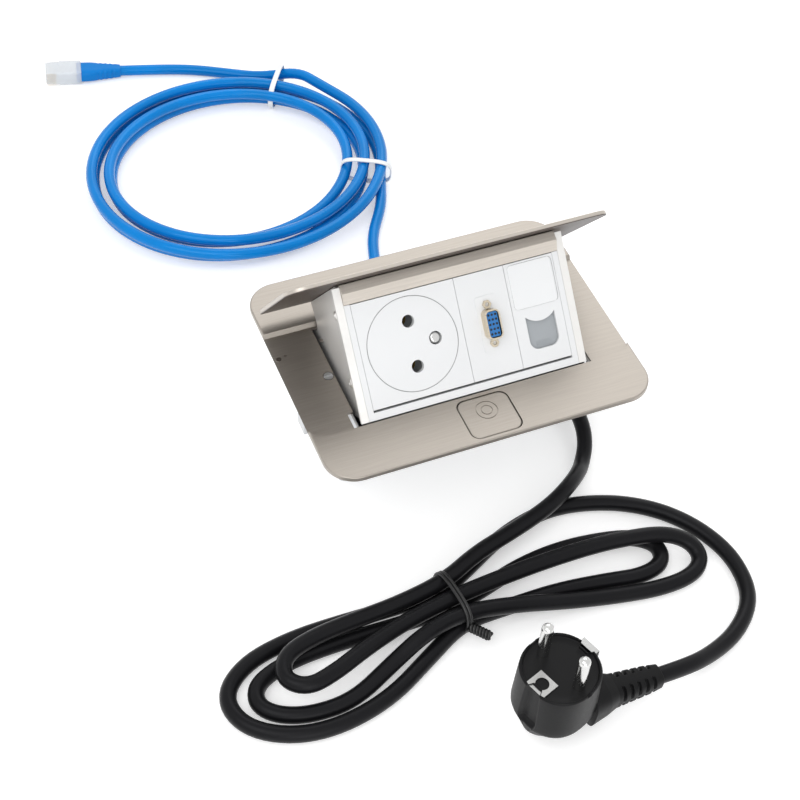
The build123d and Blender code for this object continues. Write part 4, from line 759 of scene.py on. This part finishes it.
class DESKSOCKET_OT_ledge(SocketOperator, bpy.types.Operator):
    """Small screws on the ledge, rivets and a rod's end on the side plates"""

    bl_idname = "desksocket.ledge"
    bl_label = "Ledge screws"

    @staticmethod
    def head(place, size, axis, flatness=1.0):
        """A dome with a dimple, turned round an axis; a low flatness keeps it clear of the shut lid."""
        profile = [(r * size, h * flatness * size) for r, h in HEAD_DOME]
        return turned("head", place, axis, profile, 32)

    def execute(self, context):
        chosen = self.settings(context)
        steel = plain_metal("ledge_steel", shade(chosen.nickel_colour, 0.8), 0.3)
        up = (0, 0, 1)
        ledge = [
            self.head((x, y, SEAT_Z - LEDGE_SINK), size, up, LEDGE_FLATNESS)
            for x, y, size in LEDGE_HEADS
        ]
        give(join_pieces("ledge_heads", ledge), steel, "base")
        rivets = [
            self.head((side * SIDE_X, *on_face(0.0, v, w)[1:]), RIVET_RADIUS, (side, 0, 0))
            for side in (-1, 1)
            for v, w in RIVET_PLACES
        ]
        rivets.append(turned("rod_end", ROD_PLACE, (1, 0, 0), ROD_END, 32))
        steel = plain_metal("rivet_steel", chosen.edge_colour, 0.3)
        give(join_pieces("side_rivets", rivets), steel, "carrier")
        return {"FINISHED"}


class DESKSOCKET_OT_housing(SocketOperator, bpy.types.Operator):
    """Finish the housing, the springs, the clamps and the terminal box"""

    bl_idname = "desksocket.housing"
    bl_label = "Housing"

    def execute(self, context):
        chosen = self.settings(context)
        zinc = plain_metal("zinc_steel", (0.62, 0.63, 0.64, 1.0), 0.38)
        wire = plain_metal("spring_steel", (0.42, 0.42, 0.43, 1.0), 0.28)
        black = housing_black(chosen)
        foam = moulded("gasket_foam", (0.02, 0.02, 0.02, 1.0), 0.85, 2200.0, 0.0002)
        magnet = plain_metal("magnet_plating", (0.72, 0.72, 0.73, 1.0), 0.15)
        groups = (
            (zinc, "back_box frame_screws release_bar release_crank"),
            (zinc, "clamp_screw_left clamp_screw_right clamp_claw_left clamp_claw_right"),
            (wire, "button_spring hinge_shaft torsion_spring disc_spring"),
            (black, "button_guide damper_sector damper_pinion damper_body"),
            (black, "terminal_box terminal_cover cord_gland data_gland"),
            (foam, "desk_gasket"),
            (magnet, "catch_magnets"),
        )
        for material, names in groups:
            for node in names.split():
                dress(node, material)
        squeeze("button_spring")
        squeeze("disc_spring")
        return {"FINISHED"}


class DESKSOCKET_OT_mains(SocketOperator, bpy.types.Operator):
    """Mains cord with its hank, wire tie, strain relief and plug"""

    bl_idname = "desksocket.mains"
    bl_label = "Mains cord and plug"

    def plug_shell(self):
        """Stacked superellipses: a keel, a round head above it, two side grooves and a raised rim."""
        #            height, half along, half across, shift, power, groove
        table = np.array(
            (
                (0.0, 0.0, 0.0, -3.0, 2.2, 0.0),
                (0.0, 3.4, 0.9, -3.0, 2.2, 0.0),
                (0.7, 5.6, 1.7, -2.6, 2.0, 0.0),
                (9.2, 13.0, 10.0, -1.0, 1.9, 0.0),
                (14.6, 15.5, 14.8, 0.0, 2.1, 0.3),
                (15.6, 15.7, 15.4, 0.0, 2.3, 0.7),
                (17.0, 15.7, 15.6, 0.0, 2.5, 1.0),
                (19.0, 15.6, 15.6, 0.0, 2.6, 1.0),
                (37.0, 15.4, 15.4, 0.0, 2.3, 1.0),
                (39.6, 15.4, 15.4, 0.0, 2.2, 1.0),
                (40.1, 15.2, 15.2, 0.0, 2.1, 1.0),
                (40.2, 14.9, 14.9, 0.0, 2.1, 1.0),
                (40.1, 14.6, 14.6, 0.0, 2.1, 1.0),
                (39.1, 14.4, 14.4, 0.0, 2.0, 1.0),
                (38.95, 14.1, 14.1, 0.0, 2.0, 1.0),
                (38.95, 0.0, 0.0, 0.0, 2.0, 1.0),
            )
        )
        marks = np.arange(len(table))
        rows = np.append((marks[:-1, None] + np.linspace(0, 1, 5, endpoint=False)).ravel(), marks[-1])
        height, half_a, half_b, shift, power, groove = (np.interp(rows, marks, column) for column in table.T)
        angle = np.linspace(0, 2 * np.pi, 192, endpoint=False)
        a, b = rounded(angle[None], half_a[:, None], half_b[:, None], power[:, None])
        off = np.abs(np.angle(np.exp(2j * angle)) / 2)
        dent = 1 - GROOVE_DEPTH * groove[:, None] * (1 - ease(0.16, 0.18, off))[None]
        notch = 1 - ease(0.05, 0.08, np.abs(np.angle(np.exp(2j * (angle - 1.57))) / 2))
        a = (a * dent + shift[:, None]) * MM
        b = b * dent * MM
        top = (height[:, None] - notch[None] * (height[:, None] > NOTCH_FROM)) * MM
        x = PLUG_CENTRE[0] + a * cos(PLUG_TURN) - b * sin(PLUG_TURN)
        y = PLUG_CENTRE[1] + a * sin(PLUG_TURN) + b * cos(PLUG_TURN)
        return grid_piece("plug_shell", np.stack((x, y, np.broadcast_to(top, x.shape)), axis=-1))

    def relief(self):
        """A tapering rounded section on the cord's end, with five bands of side slots that leave a spine."""
        end = np.array(MAINS_ROUTE[-1])
        before = np.array(MAINS_ROUTE[-2])
        ahead = (end - before) / np.linalg.norm(end - before)
        side = np.cross((0, 0, 1), ahead)
        side /= np.linalg.norm(side)
        up = np.cross(ahead, side)
        run = np.linspace(-0.0035, 0.0300, 180)
        half = np.interp(run, (-0.0035, 0.002, 0.018, 0.0225, 0.03), (0.0044, 0.0052, 0.0063, 0.0078, 0.0095))
        angle = np.linspace(0, 2 * np.pi, 96, endpoint=False)
        a, b = rounded(angle[None], half[:, None], half[:, None] * 0.96, 3.2)
        phase = (run - SLOT_FIRST) / SLOT_PITCH
        banded = (run > -0.0005) & (run < 0.0165)
        slot = (1 - ease(0.16, 0.24, np.abs(phase - np.round(phase)))) * banded
        away = np.abs(np.angle(np.exp(2j * (angle - np.pi / 2))) / 2)
        reach = ease(0.22, 0.3, away) * (1 - ease(1.42, 1.48, away))
        sink = 1 - SLOT_DEPTH * slot[:, None] * reach[None]
        grid = end + run[:, None, None] * ahead + (a * sink)[..., None] * side + (b * sink)[..., None] * up
        cap = np.repeat((end + run[0] * ahead)[None, None], len(angle), axis=1)
        tip = np.repeat((end + run[-1] * ahead)[None, None], len(angle), axis=1)
        return grid_piece("plug_strain_relief", np.concatenate((cap, grid, tip)))

    def wire_tie(self, radius):
        """Two leaning rounded loops round the hank, then two strands twisted round each other."""
        angle = np.linspace(0, 4 * np.pi, 160)
        y, z = rounded(angle, 0.0132, 0.0084, 3.0)
        turn = radians(6)
        x = 0.0030 * (angle / (4 * np.pi) - 0.5) + 0.0007 * np.sin(angle)
        ahead = x * cos(turn) - y * sin(turn)
        aside = x * sin(turn) + y * cos(turn)
        loop = TIE_CENTRE + np.stack((ahead, aside, np.maximum(z, TIE_FLOOR)), axis=1)
        pieces = [along("loop", loop, radius, radius, columns=10)]
        run = np.linspace(0, 1, 70)
        middle = TIE_END + np.outer(run * TIE_TAIL, TIE_HEADING)
        for start_angle in (0, np.pi):
            twist = 2 * np.pi * TIE_TWISTS * run + start_angle
            swing = 0.0011 * np.stack((np.cos(twist), np.cos(twist), np.sin(twist) * 1.2), axis=1)
            pieces.append(along("strand", middle + swing, radius, radius, columns=10))
        return join_pieces("wire_tie", pieces)

    def execute(self, context):
        chosen = self.settings(context)
        cord = smooth_cord("mains_cord", MAINS_ROUTE, MAINS_DIAMETER)
        rubber = sheath("mains_sheath", chosen.mains_colour, 0.36, (0.42, 0.42, 0.44, 1.0), 0.0)
        give(cord, rubber, "base")
        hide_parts("power_cord_lead", "power_cord_hank", "power_cord_tail")
        colour = chosen.black_colour
        black = moulded("plug_black", colour, 0.42, 1100.0, 0.00005, Specular_IOR_Level=0.14)
        shell = give(self.plug_shell(), black, "base")
        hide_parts("plug_body")
        relief = give(self.relief(), black, "base")
        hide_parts("plug_relief")
        tie = self.wire_tie(chosen.tie_radius)
        give(tie, moulded("tie_black", colour, 0.35), "base")
        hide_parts("cord_tie")
        dress("plug_pins", pin_chrome(chosen))
        dress("plug_earth", plain_metal("earth_strip", shade(chosen.chrome_colour, 0.62), 0.3))
        return {"FINISHED"}


class DESKSOCKET_OT_data(SocketOperator, bpy.types.Operator):
    """Data cord with its coil, straps, boot and clear plug"""

    bl_idname = "desksocket.data"
    bl_label = "Data cord and plug"

    def straps(self):
        """Flat bands carried round a superellipse that holds both layers of the coil."""
        pieces = []
        for turns, half, inward in STRAPS:
            angle = COIL_START + 2 * np.pi * turns
            x = COIL_CENTRE[0] + COIL_HALF[0] * cos(angle)
            y = COIL_CENTRE[1] + COIL_HALF[1] * sin(angle)
            rim = np.array((x, y, STRAP_HEIGHT))
            outward = np.array((cos(angle) / COIL_HALF[0], sin(angle) / COIL_HALF[1], 0.0))
            outward /= np.linalg.norm(outward)
            round_about = np.linspace(0, 2 * np.pi, 96, endpoint=False)
            a, b = rounded(round_about, half, 0.00675, 3.4)
            line = rim - outward * inward + a[:, None] * outward + b[:, None] * np.array((0.0, 0.0, 1.0))
            ahead = np.cross(outward, (0.0, 0.0, 1.0))
            pieces.append(along("strap", line, 0.0004, 0.0014, 4.0, 12, True, tuple(ahead)))
        return join_pieces("coil_straps", pieces)

    @staticmethod
    def past_end(route, run):
        """Points at given lengths beyond the route's end, straight on."""
        ahead = (route[-1] - route[-2]) / np.linalg.norm(route[-1] - route[-2])
        return route[-1] + run[:, None] * ahead

    def boot(self, route):
        """A widening rounded section with four shallow waves for the grip."""
        place, half_wide, half_thick = BOOT_TABLE
        run = np.linspace(0, place[-1], 120)
        grip = 0.00045 * (0.5 - 0.5 * np.cos(2 * np.pi * run / 0.0026)) * ((run > 0.003) & (run < 0.0135))
        wide = np.interp(run, place, half_wide) - grip
        thick = np.interp(run, place, half_thick)
        return along("data_boot", self.past_end(route, run), wide, thick, 3.4, 48)

    def clear_plug(self, route):
        """A nearly square section with a step down to its contact end."""
        run, wide, thick = np.array(CLEAR_TABLE)
        return along("data_plug_shell", self.past_end(route, run), wide, thick, 9.0, 64)

    def execute(self, context):
        chosen = self.settings(context)
        coil = coil_route()
        # Straight points before and after the coil lead its strand in and out along its own direction.
        enter = coil[0] + (coil[0] - coil[1]) / np.linalg.norm(coil[0] - coil[1]) * COIL_RUN
        leave = coil[-1] + (coil[-1] - coil[-2]) / np.linalg.norm(coil[-1] - coil[-2]) * COIL_RUN
        route = np.vstack((DATA_LEAD, enter, coil, leave, DATA_TAIL))
        cord = smooth_cord("data_cord", route, DATA_DIAMETER)
        blue = sheath("data_sheath", chosen.data_colour, 0.24, (0.12, 0.7, 1.0, 1.0), 0.2, 0.00006)
        give(cord, blue, "base")
        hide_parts("data_cord_lead", "data_cord_coil", "data_cord_tail")
        straps = self.straps()
        give(straps, moulded("strap_white", (0.85, 0.86, 0.87, 1.0), 0.3), "base")
        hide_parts("coil_ties")
        boot = self.boot(route)
        rubber = moulded("boot_blue", chosen.data_colour, 0.34, Specular_IOR_Level=0.15)
        give(boot, rubber, "base")
        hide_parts("data_plug_boot")
        body = self.clear_plug(route)
        tint = (0.72, 0.76, 0.8, 1.0)
        clear = moulded("plug_clear", tint, 0.14, 500.0, 0.00001, Coat_Weight=0.6, Alpha=0.62)
        give(body, clear, "base")
        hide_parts("data_plug")
        dress("data_plug_contacts", contact_brass())
        return {"FINISHED"}


class DESKSOCKET_OT_stage(SocketOperator, bpy.types.Operator):
    """Floor, world, lamps and the camera of the reference view"""

    bl_idname = "desksocket.stage"
    bl_label = "Stage"

    def floor(self):
        """A plain pale plane that takes shadows and glows only where the background shows."""
        side = np.linspace(-4, 4, 9)
        x, y = np.meshgrid(side, side)
        floor = grid_piece("floor", np.stack((x, y, np.full_like(x, -0.0002)), axis=-1), wrap_columns=False)
        material, wire = start("floor_white")
        diffuse = wire.node("ShaderNodeBsdfDiffuse", None, {"Color": (*FLOOR_GREY, 1.0)})
        strength = wire.sees_background() * FLOOR_GLOW
        glow = wire.node("ShaderNodeEmission", None, {"Color": WHITE, "Strength": strength})
        both = wire.node("ShaderNodeAddShader", None, {0: diffuse, 1: glow})
        wire.node("ShaderNodeOutputMaterial", None, {"Surface": both})
        floor.data.materials.append(material)

    def world(self, scene):
        """Soft light that grows a little towards the zenith; plain white where the background shows."""
        scene.world = bpy.data.worlds.new("studio")
        scene.world.use_nodes = True
        tree = scene.world.node_tree
        tree.nodes.clear()
        wire = Wire(tree)
        place = wire.node("ShaderNodeTexCoord", out=0)
        height = wire.node("ShaderNodeSeparateXYZ", None, {"Vector": place}, out=2)
        level = height.between(-0.3, 0.9) * 0.3 + 0.6
        sky = wire.node("ShaderNodeBackground", None, {"Color": WHITE, "Strength": level})
        plain = wire.node("ShaderNodeBackground", None, {"Color": WHITE, "Strength": 1.0})
        both = wire.node("ShaderNodeMixShader", None, {0: wire.sees_background(), 1: sky, 2: plain})
        wire.node("ShaderNodeOutputWorld", None, {"Surface": both})

    def lamp(self, scene, name, place, size, power):
        """A square lamp that faces the object."""
        light = bpy.data.lights.new(name, "AREA")
        light.energy = power
        light.size = size
        holder = bpy.data.objects.new(name, light)
        scene.collection.objects.link(holder)
        holder.location = place
        aim = np.array(LAMP_TARGET) - np.array(place)
        tilt = float(np.arctan2(np.hypot(aim[0], aim[1]), -aim[2]))
        turn = float(np.arctan2(aim[0], -aim[1])) + np.pi
        holder.rotation_euler = (tilt, 0.0, turn)

    def camera(self, scene):
        lens = bpy.data.cameras.new("reference_view")
        lens.lens = CAMERA_LENS
        lens.sensor_width = 36.0
        lens.clip_start = 0.02
        camera = bpy.data.objects.new("reference_view", lens)
        scene.collection.objects.link(camera)
        camera.location = CAMERA_PLACE
        camera.rotation_euler = tuple(radians(angle) for angle in CAMERA_TURN)
        scene.camera = camera

    def execute(self, context):
        scene = context.scene
        self.floor()
        self.world(scene)
        for lamp in LAMPS:
            self.lamp(scene, *lamp)
        self.camera(scene)
        bpy.context.scene.view_settings.view_transform = "Standard"
        return {"FINISHED"}


STEPS = (
    DESKSOCKET_OT_stage,
    DESKSOCKET_OT_flange,
    DESKSOCKET_OT_modules,
    DESKSOCKET_OT_ledge,
    DESKSOCKET_OT_housing,
    DESKSOCKET_OT_mains,
    DESKSOCKET_OT_data,
)


class DESKSOCKET_PT_panel(bpy.types.Panel):
    """Settings and build steps of the desk socket"""

    bl_idname = "DESKSOCKET_PT_panel"
    bl_label = "Desk socket"
    bl_space_type = "VIEW_3D"
    bl_region_type = "UI"
    bl_category = "Desk socket"

    def draw(self, context):
        for key in DeskSocketSettings.__annotations__:
            self.layout.prop(context.scene.desk_socket, key)
        for step in STEPS:
            self.layout.operator(step.bl_idname)


CLASSES = (DeskSocketSettings, *STEPS, DESKSOCKET_PT_panel)


def register():
    for entry in CLASSES:
        bpy.utils.register_class(entry)
    bpy.types.Scene.desk_socket = bpy.props.PointerProperty(type=DeskSocketSettings)


def unregister():
    del bpy.types.Scene.desk_socket
    for entry in reversed(CLASSES):
        bpy.utils.unregister_class(entry)


def main():
    register()
    for step in STEPS:
        group, name = step.bl_idname.split(".")
        getattr(getattr(bpy.ops, group), name)()


if __name__ == "__main__":
    main()
